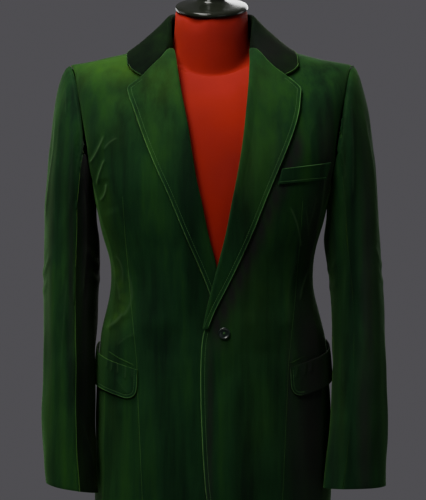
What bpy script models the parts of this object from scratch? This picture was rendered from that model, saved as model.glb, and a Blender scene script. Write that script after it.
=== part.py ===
"""Velvet smoking jacket with notch lapels, worn on a limbless dress form on a round stand.

Front faces -Y, up is +Z, metres. The origin is on the floor under the centre of the stand.
Left and right are the wearer's: left is +X. A point on the jacket is named by its turn, in
degrees from the centre front towards the wearer's side, and its level: 0 at the hem, 1 at the
underarm, 2 along the shoulder seams and the neckline.
"""
from collections import namedtuple

import bmesh
import bpy
import numpy as np

LEFT = 1
RIGHT = -1

# Heights
HEM_HEIGHT = 0.700
UNDERARM_HEIGHT = 1.200
FORM_BELOW_HEM = 0.022

# Cloth thickness and the spaces between pieces
BODY_WALL = 0.0025
SLEEVE_WALL = 0.0020
LAPEL_WALL = 0.0025
COLLAR_WALL = 0.0028
TRIM_WALL = 0.0020
SEAM_GAP = 0.0002
SLEEVE_SEAM_GAP = 0.0003
ARMHOLE_GAP = 0.0005
LAYER_GAP = 0.0010
LAPEL_GAP = 0.0016

# Neckline and shoulder seam, wearer's left
NECK_POINT = np.array((0.078, 0.012, 1.456))
SHOULDER_POINT = np.array((0.2225, 0.006, 1.420))
NECKLINE_FRONT = np.array((0.0, -0.060, 1.400))
NECKLINE_BACK = np.array((0.0, 0.070, 1.474))
NECK_TURN = 23.0
SHOULDER_TURN = 80.0
SEAM_SAG = 0.004
SEAM_CROWD = 2.2

# Body seams, in turn
FRONT_SEAM_TURN = 70.0
BACK_SEAM_TURN = 112.0
SEAM_TOP_LEVEL = 1.10

# How round the chest and back stay as they rise to the shoulder seam
BACK_FULLNESS = 0.88
SIDE_SQUARING = 0.36
SIDE_SQUARING_FOLD = 25.0
SIDE_SQUARING_SPAN = 60.0
SHOULDER_EARLY = 0.7

Section = namedtuple("Section", "height half_width front back squareness sway")
BODY = (
    Section(0.700, 0.1850, 0.124, 0.143, 2.30, 0.002),
    Section(0.780, 0.1855, 0.123, 0.144, 2.30, 0.002),
    Section(0.870, 0.1850, 0.121, 0.138, 2.30, 0.003),
    Section(0.940, 0.1830, 0.119, 0.127, 2.30, 0.003),
    Section(0.990, 0.1780, 0.118, 0.117, 2.35, 0.002),
    Section(1.040, 0.1655, 0.118, 0.107, 2.40, 0.001),
    Section(1.092, 0.1555, 0.120, 0.102, 2.45, 0.001),
    Section(1.130, 0.1620, 0.123, 0.105, 2.50, 0.000),
    Section(1.160, 0.1725, 0.126, 0.110, 2.70, 0.000),
    Section(1.200, 0.1800, 0.130, 0.118, 3.10, 0.000),
)

Edge = namedtuple("Edge", "level turn")
# Front edge up to the break, then the roll of the lapel up to the neckline
FRONT_EDGE = {
    LEFT: (
        Edge(0.000, 9.0), Edge(0.015, 2.5), Edge(0.045, -1.5), Edge(0.090, -3.8), Edge(0.150, -5.3),
        Edge(0.277, -7.6), Edge(0.406, -9.2), Edge(0.560, -8.9), Edge(0.613, -7.7), Edge(0.664, -5.4),
        Edge(0.746, -0.8), Edge(0.823, 4.9), Edge(0.943, 11.0), Edge(1.109, 13.0), Edge(1.353, 12.4),
        Edge(1.650, 12.6), Edge(2.000, 13.5),
    ),
    RIGHT: (
        Edge(0.000, 4.0), Edge(0.015, -3.0), Edge(0.045, -7.0), Edge(0.150, -10.0), Edge(0.400, -11.5),
        Edge(0.613, -11.0), Edge(0.700, -8.0), Edge(0.818, -3.6), Edge(0.866, -0.2), Edge(0.943, 3.8),
        Edge(1.028, 6.2), Edge(1.340, 7.8), Edge(1.650, 10.3), Edge(1.834, 11.5), Edge(2.000, 13.5),
    ),
}
BREAK_LEVEL = 0.625
BELOW_BREAK = 0.612
LAPEL_LEAST_WIDTH = 0.0045

# How the wearer's right front dips under the left one
UNDERLAP_GAP = 0.0012
UNDERLAP_DROP = 0.0046
UNDERLAP_DROP_LEVEL = 0.53
UNDERLAP_DROP_SPAN = 0.08
UNDERLAP_START = 28.0
UNDERLAP_SPAN = 25.0

LAPEL_EDGE = {
    LEFT: (
        Edge(0.600, -5.5), Edge(0.655, -1.4), Edge(0.713, 6.2), Edge(0.808, 17.1), Edge(0.904, 26.0),
        Edge(1.012, 31.6), Edge(1.167, 35.2), Edge(1.280, 37.5), Edge(1.422, 38.9), Edge(1.534, 38.5),
    ),
    RIGHT: (
        Edge(0.600, -8.5), Edge(0.655, -4.5), Edge(0.742, 2.6), Edge(0.818, 9.7), Edge(0.952, 21.0),
        Edge(1.110, 28.3), Edge(1.272, 32.2), Edge(1.425, 34.6), Edge(1.533, 36.1),
    ),
}
# Gorge seam from the roll to the notch
GORGE = {
    LEFT: (Edge(2.000, 13.5), Edge(1.820, 18.5), Edge(1.667, 23.5), Edge(1.623, 26.6), Edge(1.593, 31.7)),
    RIGHT: (Edge(2.000, 13.5), Edge(1.820, 18.0), Edge(1.690, 22.0), Edge(1.635, 25.4), Edge(1.575, 29.9)),
}
LAPEL_TIP = {LEFT: Edge(1.534, 38.5), RIGHT: Edge(1.533, 36.1)}
COLLAR_CORNER = {LEFT: Edge(1.638, 35.4), RIGHT: Edge(1.640, 34.6)}
COLLAR_TIP = {LEFT: Edge(1.690, 36.6), RIGHT: Edge(1.704, 35.2)}

# How far the cloth rises where it rolls over
ROLL_LIFT_LOW = 0.0006
ROLL_LIFT_HIGH = 0.0030
ROLL_LIFT_LEVEL = 0.85
ROLL_LIFT_SPAN = 0.7
STAND_START = 1.45
STAND_SPAN = 0.35
STAND_CROWD = 1.3
LAPEL_STAND = 0.014
STEM = 0.0012
STEM_GAP = 0.0006
STEM_GAP_LEVEL = 1.5
STEM_GAP_SPAN = 0.3
STEM_GAP_GROWTH = 1.6
ROLL_ANGLES = (-70.0, -42.0, -14.0, 14.0, 42.0, 70.0)
ROLL_FADE = 0.010
ROLL_FADE_STAND = 1.1
ROLL_FADE_POWER = 1.6
GORGE_EXTRA_GAP = 0.0025
LEAST_SLANT = 0.55
GORGE_SHARES = (0.06, 0.22, 0.48, 0.75, 1.0)
LAPEL_SHARES = (0.05, 0.14, 0.28, 0.44, 0.60, 0.74, 0.88, 1.0)
PAST_NOTCH_POINTS = 3
GORGE_BLEND = 0.85

# Collar sections of the wearer's left, from the back round to the front
CollarKey = namedtuple("CollarKey", "bottom fold outward edge_turn edge_level")
COLLAR_KEYS = (
    CollarKey((0.0000, 0.0655, 1.4745), (0.0000, 0.0735, 1.5060), (0.0, 1.0), 180.0, 1.76),
    CollarKey((0.0512, 0.0485, 1.4695), (0.0475, 0.0555, 1.5020), (0.70, 0.72), 162.0, 1.80),
    CollarKey((0.0735, 0.0110, 1.4570), (0.0665, 0.0080, 1.4920), (1.0, 0.05), 31.8, 1.999),
    CollarKey((0.0690, -0.0125, 1.4410), (0.0645, -0.0180, 1.4690), (0.92, -0.40), 35.6, 1.84),
)
COLLAR_ROLL = 0.0032
COLLAR_ROLL_ANGLES = (160.0, 125.0, 90.0, 62.0)
COLLAR_FALL_ANGLE = 35.0
COLLAR_FALL_POINTS = 7
COLLAR_RISE_SHARES = (0.0, 0.20, 0.50, 0.85)
COLLAR_FOOT_SHARES = (0.0, 0.2, 0.5, 0.8)
COLLAR_STATIONS_A_SPAN = 3
GORGE_GAP = 0.0012

Armhole = namedtuple("Armhole", "level front back")
ARMHOLE = (
    Armhole(1.10, 70.0, 112.0),
    Armhole(1.20, 67.0, 114.0),
    Armhole(1.32, 66.0, 115.0),
    Armhole(1.50, 67.0, 114.0),
    Armhole(1.70, 70.0, 111.0),
    Armhole(1.87, 75.0, 106.0),
    Armhole(2.00, 80.0, 100.0),
)
Underarm = namedtuple("Underarm", "turn level")
UNDERARM = (
    Underarm(70.0, 1.10), Underarm(80.0, 1.02), Underarm(90.0, 1.00),
    Underarm(101.0, 1.025), Underarm(112.0, 1.10),
)

Arm = namedtuple("Arm", "height outer inner centre_y half_depth slant")
SLEEVE = {
    RIGHT: (
        Arm(1.140, 0.2620, 0.1735, 0.006, 0.076, 0.0),
        Arm(1.090, 0.2633, 0.1742, 0.000, 0.074, 0.0),
        Arm(1.045, 0.2610, 0.1755, -0.008, 0.071, 0.0),
        Arm(0.950, 0.2600, 0.1755, -0.026, 0.065, 0.0),
        Arm(0.850, 0.2600, 0.1745, -0.040, 0.059, 0.002),
        Arm(0.768, 0.2540, 0.1680, -0.051, 0.053, 0.0075),
    ),
    LEFT: (
        Arm(1.140, 0.2640, 0.1745, 0.006, 0.076, 0.0),
        Arm(1.090, 0.2668, 0.1830, 0.000, 0.074, 0.0),
        Arm(1.045, 0.2688, 0.1865, -0.008, 0.071, 0.0),
        Arm(0.970, 0.2708, 0.1850, -0.022, 0.066, 0.0),
        Arm(0.870, 0.2710, 0.1765, -0.037, 0.060, 0.001),
        Arm(0.770, 0.2680, 0.1605, -0.051, 0.053, 0.001),
    ),
}
ARM_SQUARENESS = 2.3
BICEPS_HEIGHT = 1.140
FORE_SEAM_ANGLE = 112.0
HIND_SEAM_ANGLE = 238.0
HIP_CLEARANCE = 0.0048
CLEARANCE_SLOPE = 0.06
ARMHOLE_LIFT = 0.0007

# How the sleeve head leaves the armhole and arrives at the biceps
SLEEVE_HEAD_REACH = {RIGHT: 0.080, LEFT: 0.062}
HEAD_LEAST_REACH = 0.004
HEAD_SPREAD = 0.030
HEAD_DROP = 0.090
HEAD_DROP_POWER = 1.5
HEAD_RISE = 0.012
HEAD_ARRIVAL = 1.05
HEAD_CROWD = 1.25

# Largest folds: a soft ridge, or a trough where the height is below 0, along a line
BodyFold = namedtuple("BodyFold", "side start_turn start_level end_turn end_level half_width height")
BODY_FOLDS = (
    BodyFold(RIGHT, 62.0, 1.16, 48.0, 1.36, 0.020, 0.0030),
    BodyFold(RIGHT, 63.0, 1.03, 45.0, 1.22, 0.018, -0.0024),
    BodyFold(RIGHT, 74.0, 0.66, 38.0, 0.80, 0.020, -0.0030),
    BodyFold(RIGHT, 70.0, 0.56, 34.0, 0.64, 0.018, 0.0022),
    BodyFold(LEFT, 63.0, 1.12, 50.0, 1.32, 0.020, 0.0024),
    BodyFold(LEFT, 62.0, 0.98, 44.0, 1.08, 0.020, -0.0027),
    BodyFold(LEFT, 72.0, 0.70, 36.0, 0.80, 0.020, -0.0027),
    BodyFold(RIGHT, 160.0, 1.20, 122.0, 1.34, 0.024, -0.0030),
    BodyFold(LEFT, 162.0, 1.16, 124.0, 1.28, 0.024, -0.0030),
    BodyFold(RIGHT, 158.0, 0.74, 118.0, 0.80, 0.022, -0.0030),
    BodyFold(LEFT, 156.0, 0.70, 120.0, 0.78, 0.022, -0.0030),
)
METRES_A_TURN = 0.0028
METRES_A_LEVEL = 0.45
SleeveFold = namedtuple("SleeveFold", "side top_angle top_height low_angle low_height half_angle height")
SLEEVE_FOLDS = (
    SleeveFold(RIGHT, 62.0, 1.340, 72.0, 0.960, 17.0, 0.0027),
    SleeveFold(RIGHT, 98.0, 1.290, 92.0, 0.900, 16.0, -0.0032),
    SleeveFold(RIGHT, 30.0, 1.180, 44.0, 0.820, 18.0, -0.0024),
    SleeveFold(RIGHT, 300.0, 1.260, 284.0, 0.880, 20.0, -0.0035),
    SleeveFold(RIGHT, 262.0, 1.200, 256.0, 0.960, 18.0, 0.0027),
    SleeveFold(LEFT, 52.0, 1.330, 60.0, 0.900, 17.0, 0.0030),
    SleeveFold(LEFT, 84.0, 1.280, 96.0, 0.940, 16.0, -0.0035),
    SleeveFold(LEFT, 24.0, 1.140, 36.0, 0.840, 18.0, -0.0024),
    SleeveFold(LEFT, 296.0, 1.240, 288.0, 0.860, 20.0, -0.0035),
    SleeveFold(LEFT, 264.0, 1.160, 258.0, 0.940, 18.0, 0.0027),
)
FOLD_FADE = 0.22

# Grid sizes
SKIRT_ROWS = 8
SKIRT_CROWD = 1.4
CHEST_ROWS = 6
LOW_ROWS = SKIRT_ROWS + 1 + CHEST_ROWS
HIGH_ROWS = 10
HIGH_CROWD = 1.7
NECK_PIN_LEVEL = 1.3
FRONT_COLUMNS = 10
FRONT_NECK_COLUMNS = 2
BACK_COLUMNS = 10
BACK_NECK_COLUMNS = 4
HEAD_ROWS = 7
ARM_ROWS = 8
SAMPLE_TURNS = 180
SAMPLE_LEVELS = 70

# Hip pocket flaps and breast welt
Patch = namedtuple("Patch", "start_turn end_turn start_level end_level start_depth end_depth corner")
FLAP = {
    RIGHT: Patch(49.0, 98.0, 0.500, 0.574, 0.096, 0.100, 0.14),
    LEFT: Patch(49.4, 98.0, 0.508, 0.580, 0.096, 0.100, 0.14),
}
WELT = Patch(36.2, 61.5, 1.141, 1.186, 0.064, 0.076, 0.0)
FLAP_COLUMNS = 12
WELT_COLUMNS = 6
CORNER_DEPTH = 0.42
CORNER_STEPS = 4

# Button
BUTTON_TURN = 8.4
BUTTON_LEVEL = 0.612
BUTTON_RADIUS = 0.0088
BUTTON_THICK = 0.0038
BUTTON_LIFT = 0.0006
BUTTON_SIDES = 20
Turned = namedtuple("Turned", "radius height")
# Shares of the button's radius and thickness
BUTTON_PROFILE = (
    Turned(0.00, 0.00), Turned(0.80, 0.00), Turned(0.97, 0.25), Turned(1.00, 0.55), Turned(0.93, 0.90),
    Turned(0.80, 1.00), Turned(0.70, 0.86), Turned(0.00, 0.80),
)

# Dress form and stand
FormInset = namedtuple("FormInset", "level inset")
FORM_INSET = (
    FormInset(-0.1, 0.013), FormInset(0.5, 0.014), FormInset(0.8, 0.014), FormInset(1.1, 0.013),
    FormInset(1.5, 0.012), FormInset(1.8, 0.0085), FormInset(1.93, 0.0050), FormInset(2.0, 0.0031),
)
FORM_LAST_RING = 1.96
FORM_SMOOTHING = 3
FORM_SMOOTHING_LEVEL = 1.3
FORM_NECK_SPANS = 4
FORM_SHOULDER_SPANS = 7
# How the form's top edge runs inside the neckline and ends short of the sleeves
FORM_NECK_FADE = 16.0
FORM_NECK_DROP = 0.0045
FORM_NECK_DROP_LEVEL = 1.4
FORM_NECK_DROP_SPAN = 0.45
FORM_NECK_PULL = 0.0135
FORM_END_LEVEL = 1.60
FORM_END_FOLD = 55.0
FORM_END_SPAN = 12.0
FORM_SHOULDER_SHORT = 0.005
FORM_SHORT_LEVEL = 1.2
FORM_SHORT_LEVEL_SPAN = 0.5
FORM_SHORT_SPAN = 25.0
FORM_SHOULDER_DROP = 0.0032
FORM_DROP_FOLD = 58.0
FORM_DROP_SPAN = 15.0
FORM_SHOULDER_END = 0.014
FORM_SHOULDER_END_FOLD = 45.0
FORM_SHOULDER_END_SPAN = 35.0
NECK_HALF_WIDTH = 0.0575
NECK_HALF_DEPTH = 0.0600
NECK_CENTRE_Y = 0.006
NECK_TOP = 1.506
NECK_TILT = 0.34
NECK_RINGS = (0.25, 0.5, 0.75, 1.0)
NECK_LEAVE = np.array((1.6, 1.6, 0.5))
NECK_ARRIVE = np.array((0.0, 0.0, 1.1))
CAP_THICK = 0.009
CAP_ROUNDING = 0.002
CAP_GAP = 0.0003
CAP_SIDES = 24
# The cap's turned finial, in metres above the cap's edge
FINIAL_PROFILE = (
    Turned(0.0260, 0.003), Turned(0.0190, 0.010), Turned(0.0225, 0.020), Turned(0.0235, 0.028),
    Turned(0.0190, 0.037), Turned(0.0090, 0.043), Turned(0.0000, 0.044),
)
POLE_RADIUS = 0.016
POLE_SIDES = 24
PLATE_RADIUS = 0.055
# The pole's top, in metres out from the pole and down from the form
POLE_TOP_PROFILE = (Turned(0.0, -0.030), Turned(0.006, -0.020), Turned(0.008, -0.008))
PLATE_THICK = 0.006
BASE_RADIUS = 0.200
BASE_THICK = 0.020
BASE_SIDES = 48
HUB_RADIUS = 0.034
HUB_HEIGHT = 0.060
SOCKET_DEPTH = 0.040
SOCKET_GAP = 0.0004
CONTACT_GAP = 0.0003

VELVET_GREEN = (0.010, 0.035, 0.012, 1.0)
FORM_RED = (0.32, 0.02, 0.03, 1.0)
GLOSS_BLACK = (0.012, 0.012, 0.013, 1.0)
BUTTON_BLACK = (0.010, 0.014, 0.012, 1.0)


def clear_scene():
    for old in list(bpy.context.scene.objects):
        bpy.data.objects.remove(old, do_unlink=True)


def column(rows, name):
    return np.array([getattr(row, name) for row in rows], float)


def unit(vectors):
    length = np.linalg.norm(vectors, axis=-1, keepdims=True)
    return vectors / np.maximum(length, 1e-12)


def ease(share):
    share = np.clip(share, 0.0, 1.0)
    return share * share * (3.0 - 2.0 * share)


def between(t, start, leave, end, arrive):
    """Cubic from start to end with the given directions at its two ends."""
    return ((2 * t**3 - 3 * t**2 + 1) * start + (t**3 - 2 * t**2 + t) * leave
            + (3 * t**2 - 2 * t**3) * end + (t**3 - t**2) * arrive)


def smooth(keys, values, at):
    """Smooth curve through the values given at the keys."""
    keys = np.asarray(keys, float)
    values = np.asarray(values, float)
    at = np.clip(np.asarray(at, float), keys[0], keys[-1])
    extra = (1,) * (values.ndim - 1)
    step = np.diff(keys).reshape((-1,) + extra)
    slope = np.diff(values, axis=0) / step
    inner = (slope[:-1] * step[1:] + slope[1:] * step[:-1]) / (step[:-1] + step[1:])
    tangent = np.concatenate([slope[:1], inner, slope[-1:]])
    low = np.clip(np.searchsorted(keys, at, side="right") - 1, 0, len(keys) - 2)
    span = (keys[low + 1] - keys[low]).reshape(at.shape + extra)
    t = (at - keys[low]).reshape(at.shape + extra) / span
    return between(t, values[low], span * tangent[low], values[low + 1], span * tangent[low + 1])


def seam_top(fold, in_front):
    """Point on the shoulder seam, or on the neckline where the fold angle is under NECK_TURN."""
    share = np.clip((fold - NECK_TURN) / (90.0 - NECK_TURN), 0.0, 1.0)
    run = 1.0 - (1.0 - share) ** SEAM_CROWD
    seam = NECK_POINT + (SHOULDER_POINT - NECK_POINT) * run[..., None]
    seam[..., 2] -= SEAM_SAG * np.sin(np.pi * run)
    angle = np.radians(90.0 * np.clip(fold / NECK_TURN, 0.0, 1.0))
    centre = np.where(in_front[..., None], NECKLINE_FRONT, NECKLINE_BACK)
    ring = NECK_POINT + (centre - NECK_POINT) * np.cos(angle)[..., None]
    ring[..., 0] = NECK_POINT[0] * np.sin(angle)
    return np.where((fold >= NECK_TURN)[..., None], seam, ring)


def body(turn, level):
    """Outer surface of the jacket's body at a signed turn, + towards the wearer's left."""
    turn, level = np.broadcast_arrays(np.asarray(turn, float), np.asarray(level, float))
    turn = (turn + 180.0) % 360.0 - 180.0
    in_front = np.abs(turn) <= 90.0
    fold = np.where(in_front, np.abs(turn), 180.0 - np.abs(turn))
    height = HEM_HEIGHT + (UNDERARM_HEIGHT - HEM_HEIGHT) * np.minimum(level, 1.0)
    keys = column(BODY, "height")
    half_width = smooth(keys, column(BODY, "half_width"), height)
    front = smooth(keys, column(BODY, "front"), height)
    back = smooth(keys, column(BODY, "back"), height)
    power = smooth(keys, column(BODY, "squareness"), height)
    sway = smooth(keys, column(BODY, "sway"), height)
    depth = np.where(in_front, front, back)
    sine = np.sin(np.radians(fold))
    cosine = np.cos(np.radians(fold))
    radius = ((sine / half_width) ** power + (cosine / depth) ** power) ** (-1.0 / power)
    low_x = radius * sine
    low_y = radius * cosine * np.where(in_front, -1.0, 1.0)
    top = seam_top(fold, in_front)
    rise = np.radians(90.0 * np.clip(level - 1.0, 0.0, 1.0))
    up = np.sin(rise)
    squaring = SIDE_SQUARING * ease((fold - SIDE_SQUARING_FOLD) / SIDE_SQUARING_SPAN)
    fullness = np.where(in_front, 1.0, BACK_FULLNESS) - squaring
    lean = np.maximum(np.cos(rise), 0.0) ** fullness
    x = low_x + (top[..., 0] - low_x) * up * (1.0 + SHOULDER_EARLY * (1.0 - up))
    y = top[..., 1] + (low_y - top[..., 1]) * lean
    z = height + (top[..., 2] - height) * up
    x = np.where(turn < 0, -x, x) + sway
    return np.stack([x, y, z], axis=-1)


def body_normal(turn, level):
    turn_step = 0.5
    level_step = 0.012
    across = body(turn + turn_step, level) - body(turn - turn_step, level)
    upward = body(turn, np.minimum(level + level_step, 2.0)) - body(turn, level - level_step)
    return unit(np.cross(across, upward))


def fade_out(along):
    """1 along the middle of a fold, easing to 0 just past its ends at 0 and 1."""
    return ease((along + FOLD_FADE) / (2 * FOLD_FADE)) * ease((1.0 + FOLD_FADE - along) / (2 * FOLD_FADE))


def body_fold_height(side, turn, level):
    """How far the large folds lift or sink the cloth there."""
    height = np.zeros(np.shape(turn))
    for fold in [row for row in BODY_FOLDS if row.side == side]:
        start = np.array((fold.start_turn * METRES_A_TURN, fold.start_level * METRES_A_LEVEL))
        run = np.array((fold.end_turn * METRES_A_TURN, fold.end_level * METRES_A_LEVEL)) - start
        length = np.linalg.norm(run)
        away_x = turn * METRES_A_TURN - start[0]
        away_y = level * METRES_A_LEVEL - start[1]
        along = (away_x * run[0] + away_y * run[1]) / length**2
        across = (away_x * run[1] - away_y * run[0]) / length
        height += fold.height * fade_out(along) * np.exp(-(across / fold.half_width) ** 2)
    return height


def lay(side, turn, level, height):
    """Point a height above the folded cloth, with the turn measured towards that side."""
    turn, level, height = np.broadcast_arrays(
        np.asarray(turn, float), np.asarray(level, float), np.asarray(height, float))
    signed = side * turn
    height = height + body_fold_height(side, turn, level)
    return body(signed, level) + body_normal(signed, level) * height[..., None]


def metres_per_turn(side, turn, level):
    step = 0.5
    across = body(side * (turn + step), level) - body(side * (turn - step), level)
    return np.linalg.norm(across, axis=-1) / (2.0 * step)


def body_rows():
    """Levels shared by every panel, closer together towards the shoulder."""
    skirt = BELOW_BREAK * np.linspace(0.0, 1.0, SKIRT_ROWS) ** SKIRT_CROWD
    chest = np.linspace(BREAK_LEVEL, SEAM_TOP_LEVEL, CHEST_ROWS + 1)
    share = np.linspace(0.0, 1.0, HIGH_ROWS + 1)[1:]
    high = SEAM_TOP_LEVEL + (2.0 - SEAM_TOP_LEVEL) * (1.0 - (1.0 - share) ** HIGH_CROWD)
    return np.concatenate([skirt, chest, high])


def edge_turn(side, level):
    return smooth(column(FRONT_EDGE[side], "level"), column(FRONT_EDGE[side], "turn"), level)


def roll_lift(level):
    return ROLL_LIFT_LOW + (ROLL_LIFT_HIGH - ROLL_LIFT_LOW) * ease((level - ROLL_LIFT_LEVEL) / ROLL_LIFT_SPAN)


def roll_radius(level):
    rest = LAPEL_GAP + LAPEL_WALL / 2
    return (rest + roll_lift(level) + BODY_WALL / 2) / 2


def roll_centre(side, level):
    """Turn of the line that the lapel rolls round."""
    turn = edge_turn(side, level)
    return turn + (roll_radius(level) + LAPEL_WALL / 2) / metres_per_turn(side, turn, level)


def roll_stand(level):
    return LAPEL_STAND * ease((level - STAND_START) / (2.0 - STAND_START)) ** STAND_CROWD


def roll_set_back(level):
    """Distance from the outside of the roll back to the cut edge of the front panel."""
    gap = STEM_GAP * (1.0 + STEM_GAP_GROWTH * ease((level - STEM_GAP_LEVEL) / STEM_GAP_SPAN))
    return roll_radius(level) + LAPEL_WALL / 2 + STEM + gap


def panel_edge(side, level):
    """Turn of the front panel's inner edge."""
    turn = edge_turn(side, level)
    back = roll_set_back(level) / metres_per_turn(side, turn, level)
    return turn + back * ease((level - BELOW_BREAK) / (BREAK_LEVEL - BELOW_BREAK))


def tuck(side, turn, level):
    """Height of the wearer's right front, which dips where the left front lies over it."""
    if side == LEFT:
        return np.zeros(np.broadcast(turn, level).shape)
    covered = -edge_turn(LEFT, level) - turn
    drop = UNDERLAP_DROP * ease((level - UNDERLAP_DROP_LEVEL) / UNDERLAP_DROP_SPAN)
    return -(BODY_WALL + UNDERLAP_GAP + drop) * ease((covered + UNDERLAP_START) / UNDERLAP_SPAN)


def draw_in(points, amount, bottom=False, top=False, first=False, last=False):
    """Move the named borders of a grid of points in along the grid."""
    moved = points.copy()
    if bottom:
        moved[0] += unit(points[1] - points[0]) * amount
    if top:
        moved[-1] += unit(points[-2] - points[-1]) * amount
    if first:
        moved[:, 0] += unit(points[:, 1] - points[:, 0]) * amount
    if last:
        moved[:, -1] += unit(points[:, -2] - points[:, -1]) * amount
    return moved


def grid_normals(points, close_columns=False):
    along = np.gradient(points, axis=0)
    if close_columns:
        across = np.roll(points, -1, axis=1) - np.roll(points, 1, axis=1)
    else:
        across = np.gradient(points, axis=1)
    return unit(np.cross(across, along))


def make_material(name, colour, roughness, metallic=0.0):
    material = bpy.data.materials.new(name)
    material.use_nodes = True
    shader = material.node_tree.nodes["Principled BSDF"]
    shader.inputs["Base Color"].default_value = colour
    shader.inputs["Roughness"].default_value = roughness
    shader.inputs["Metallic"].default_value = metallic
    return material


def make_object(name, points, faces, material):
    mesh = bpy.data.meshes.new(name)
    mesh.from_pydata([tuple(point) for point in points], [], faces)
    work = bmesh.new()
    work.from_mesh(mesh)
    bmesh.ops.recalc_face_normals(work, faces=work.faces)
    if work.calc_volume(signed=True) < 0:
        bmesh.ops.reverse_faces(work, faces=work.faces)
    work.to_mesh(mesh)
    work.free()
    mesh.materials.append(material)
    mesh.shade_smooth()
    mesh.set_sharp_from_angle(angle=np.radians(50.0))
    made = bpy.data.objects.new(name, mesh)
    bpy.context.scene.collection.objects.link(made)
    return made


def make_wall(name, outer, inner, material):
    """Closed sheet of cloth between two grids of points."""
    rows, columns = outer.shape[:2]
    size = rows * columns
    points = np.concatenate([outer.reshape(-1, 3), inner.reshape(-1, 3)])
    faces = []
    for i in range(rows - 1):
        for j in range(columns - 1):
            a = i * columns + j
            b = a + 1
            c = b + columns
            d = a + columns
            faces += [(a, b, c), (a, c, d)]
            faces += [(size + c, size + b, size + a), (size + d, size + c, size + a)]
    border = list(range(columns))
    border += [i * columns + columns - 1 for i in range(1, rows)]
    border += [(rows - 1) * columns + j for j in range(columns - 2, -1, -1)]
    border += [i * columns for i in range(rows - 2, 0, -1)]
    for k, a in enumerate(border):
        b = border[(k + 1) % len(border)]
        faces.append((a, b, size + b, size + a))
    return make_object(name, points, faces, material)


def make_turned(name, profile, sides, material, place=None):
    """Closed turned piece from a profile of (radius, height), both ends on the axis."""
    points = [(0.0, 0.0, profile[0][1])]
    for radius, height in profile[1:-1]:
        for k in range(sides):
            angle = 2.0 * np.pi * k / sides
            points.append((radius * np.cos(angle), radius * np.sin(angle), height))
    points.append((0.0, 0.0, profile[-1][1]))
    rings = len(profile) - 2
    faces = []
    for k in range(sides):
        n = (k + 1) % sides
        faces.append((0, 1 + n, 1 + k))
        for ring in range(rings - 1):
            low = 1 + ring * sides
            high = low + sides
            faces.append((low + k, low + n, high + n, high + k))
        top = 1 + (rings - 1) * sides
        faces.append((top + k, top + n, len(points) - 1))
    points = np.array(points)
    if place is not None:
        points = place(points)
    return make_object(name, points, faces, material)


def side_name(side):
    return "left" if side == LEFT else "right"


def armhole_turn(level, name):
    return smooth(column(ARMHOLE, "level"), column(ARMHOLE, name), level)


def spread(first, last, count, pinned_index, pinned_turn, weight):
    """Turns across a row, where one column moves to a pinned turn as the weight grows."""
    index = np.arange(count)
    even = first + (last - first) * index / (count - 1)
    pinned = np.interp(index, [0, pinned_index, count - 1], [first, pinned_turn, last])
    return even + (pinned - even) * weight


def front_grid(side):
    levels = body_rows()
    turns = []
    for level in levels:
        last = FRONT_SEAM_TURN if level <= SEAM_TOP_LEVEL else float(armhole_turn(level, "front"))
        weight = float(ease((level - NECK_PIN_LEVEL) / (2.0 - NECK_PIN_LEVEL)))
        first = float(panel_edge(side, level))
        turns.append(spread(first, last, FRONT_COLUMNS, FRONT_NECK_COLUMNS, NECK_TURN, weight))
    turns = np.array(turns)
    return turns, np.broadcast_to(levels[:, None], turns.shape)


def make_front(side, material):
    turns, levels = front_grid(side)
    dip = tuck(side, turns, levels)
    outer = lay(side, turns, levels, dip)
    inner = lay(side, turns, levels, dip - BODY_WALL)
    outer = draw_in(outer, SEAM_GAP, top=True, last=True)
    inner = draw_in(inner, SEAM_GAP, top=True, last=True)
    return make_wall(side_name(side) + "_front", outer, inner, material)


def make_back(side, material):
    levels = body_rows()
    turns = []
    for level in levels:
        last = BACK_SEAM_TURN if level <= SEAM_TOP_LEVEL else float(armhole_turn(level, "back"))
        weight = float(ease((level - NECK_PIN_LEVEL) / (2.0 - NECK_PIN_LEVEL)))
        turns.append(spread(180.0, last, BACK_COLUMNS, BACK_NECK_COLUMNS, 180.0 - NECK_TURN, weight))
    turns = np.array(turns)
    levels = np.broadcast_to(levels[:, None], turns.shape)
    outer = draw_in(lay(side, turns, levels, 0.0), SEAM_GAP, top=True, first=True, last=True)
    inner = draw_in(lay(side, turns, levels, -BODY_WALL), SEAM_GAP, top=True, first=True, last=True)
    return make_wall(side_name(side) + "_back", outer, inner, material)


def side_body_grid():
    levels = body_rows()[:LOW_ROWS]
    turns = column(UNDERARM, "turn")
    tops = column(UNDERARM, "level") / SEAM_TOP_LEVEL
    share = levels / SEAM_TOP_LEVEL
    scale = 1.0 + (tops[None, :] - 1.0) * ease(share[:, None] ** 2)
    levels = levels[:, None] * scale
    return np.broadcast_to(turns[None, :], levels.shape), levels


def make_side_body(side, material):
    turns, levels = side_body_grid()
    outer = draw_in(lay(side, turns, levels, 0.0), SEAM_GAP, top=True, first=True, last=True)
    inner = draw_in(lay(side, turns, levels, -BODY_WALL), SEAM_GAP, top=True, first=True, last=True)
    return make_wall(side_name(side) + "_side_body", outer, inner, material)


def top_path(side, after_notch):
    """Turns and levels along the gorge to the notch, then along the given corners."""
    gorge = GORGE[side]
    keys = np.linspace(0.0, 1.0, len(gorge))
    turns = smooth(keys, column(gorge, "turn"), GORGE_SHARES)
    levels = smooth(keys, column(gorge, "level"), GORGE_SHARES)
    knots = np.linspace(0.0, 1.0, len(after_notch) + 1)
    corner_turns = [gorge[-1].turn] + [corner.turn for corner in after_notch]
    corner_levels = [gorge[-1].level] + [corner.level for corner in after_notch]
    past = np.linspace(0.0, 1.0, PAST_NOTCH_POINTS + 1)[1:]
    turns = np.concatenate([turns, np.interp(past, knots, corner_turns)])
    levels = np.concatenate([levels, np.interp(past, knots, corner_levels)])
    return turns, levels


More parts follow.
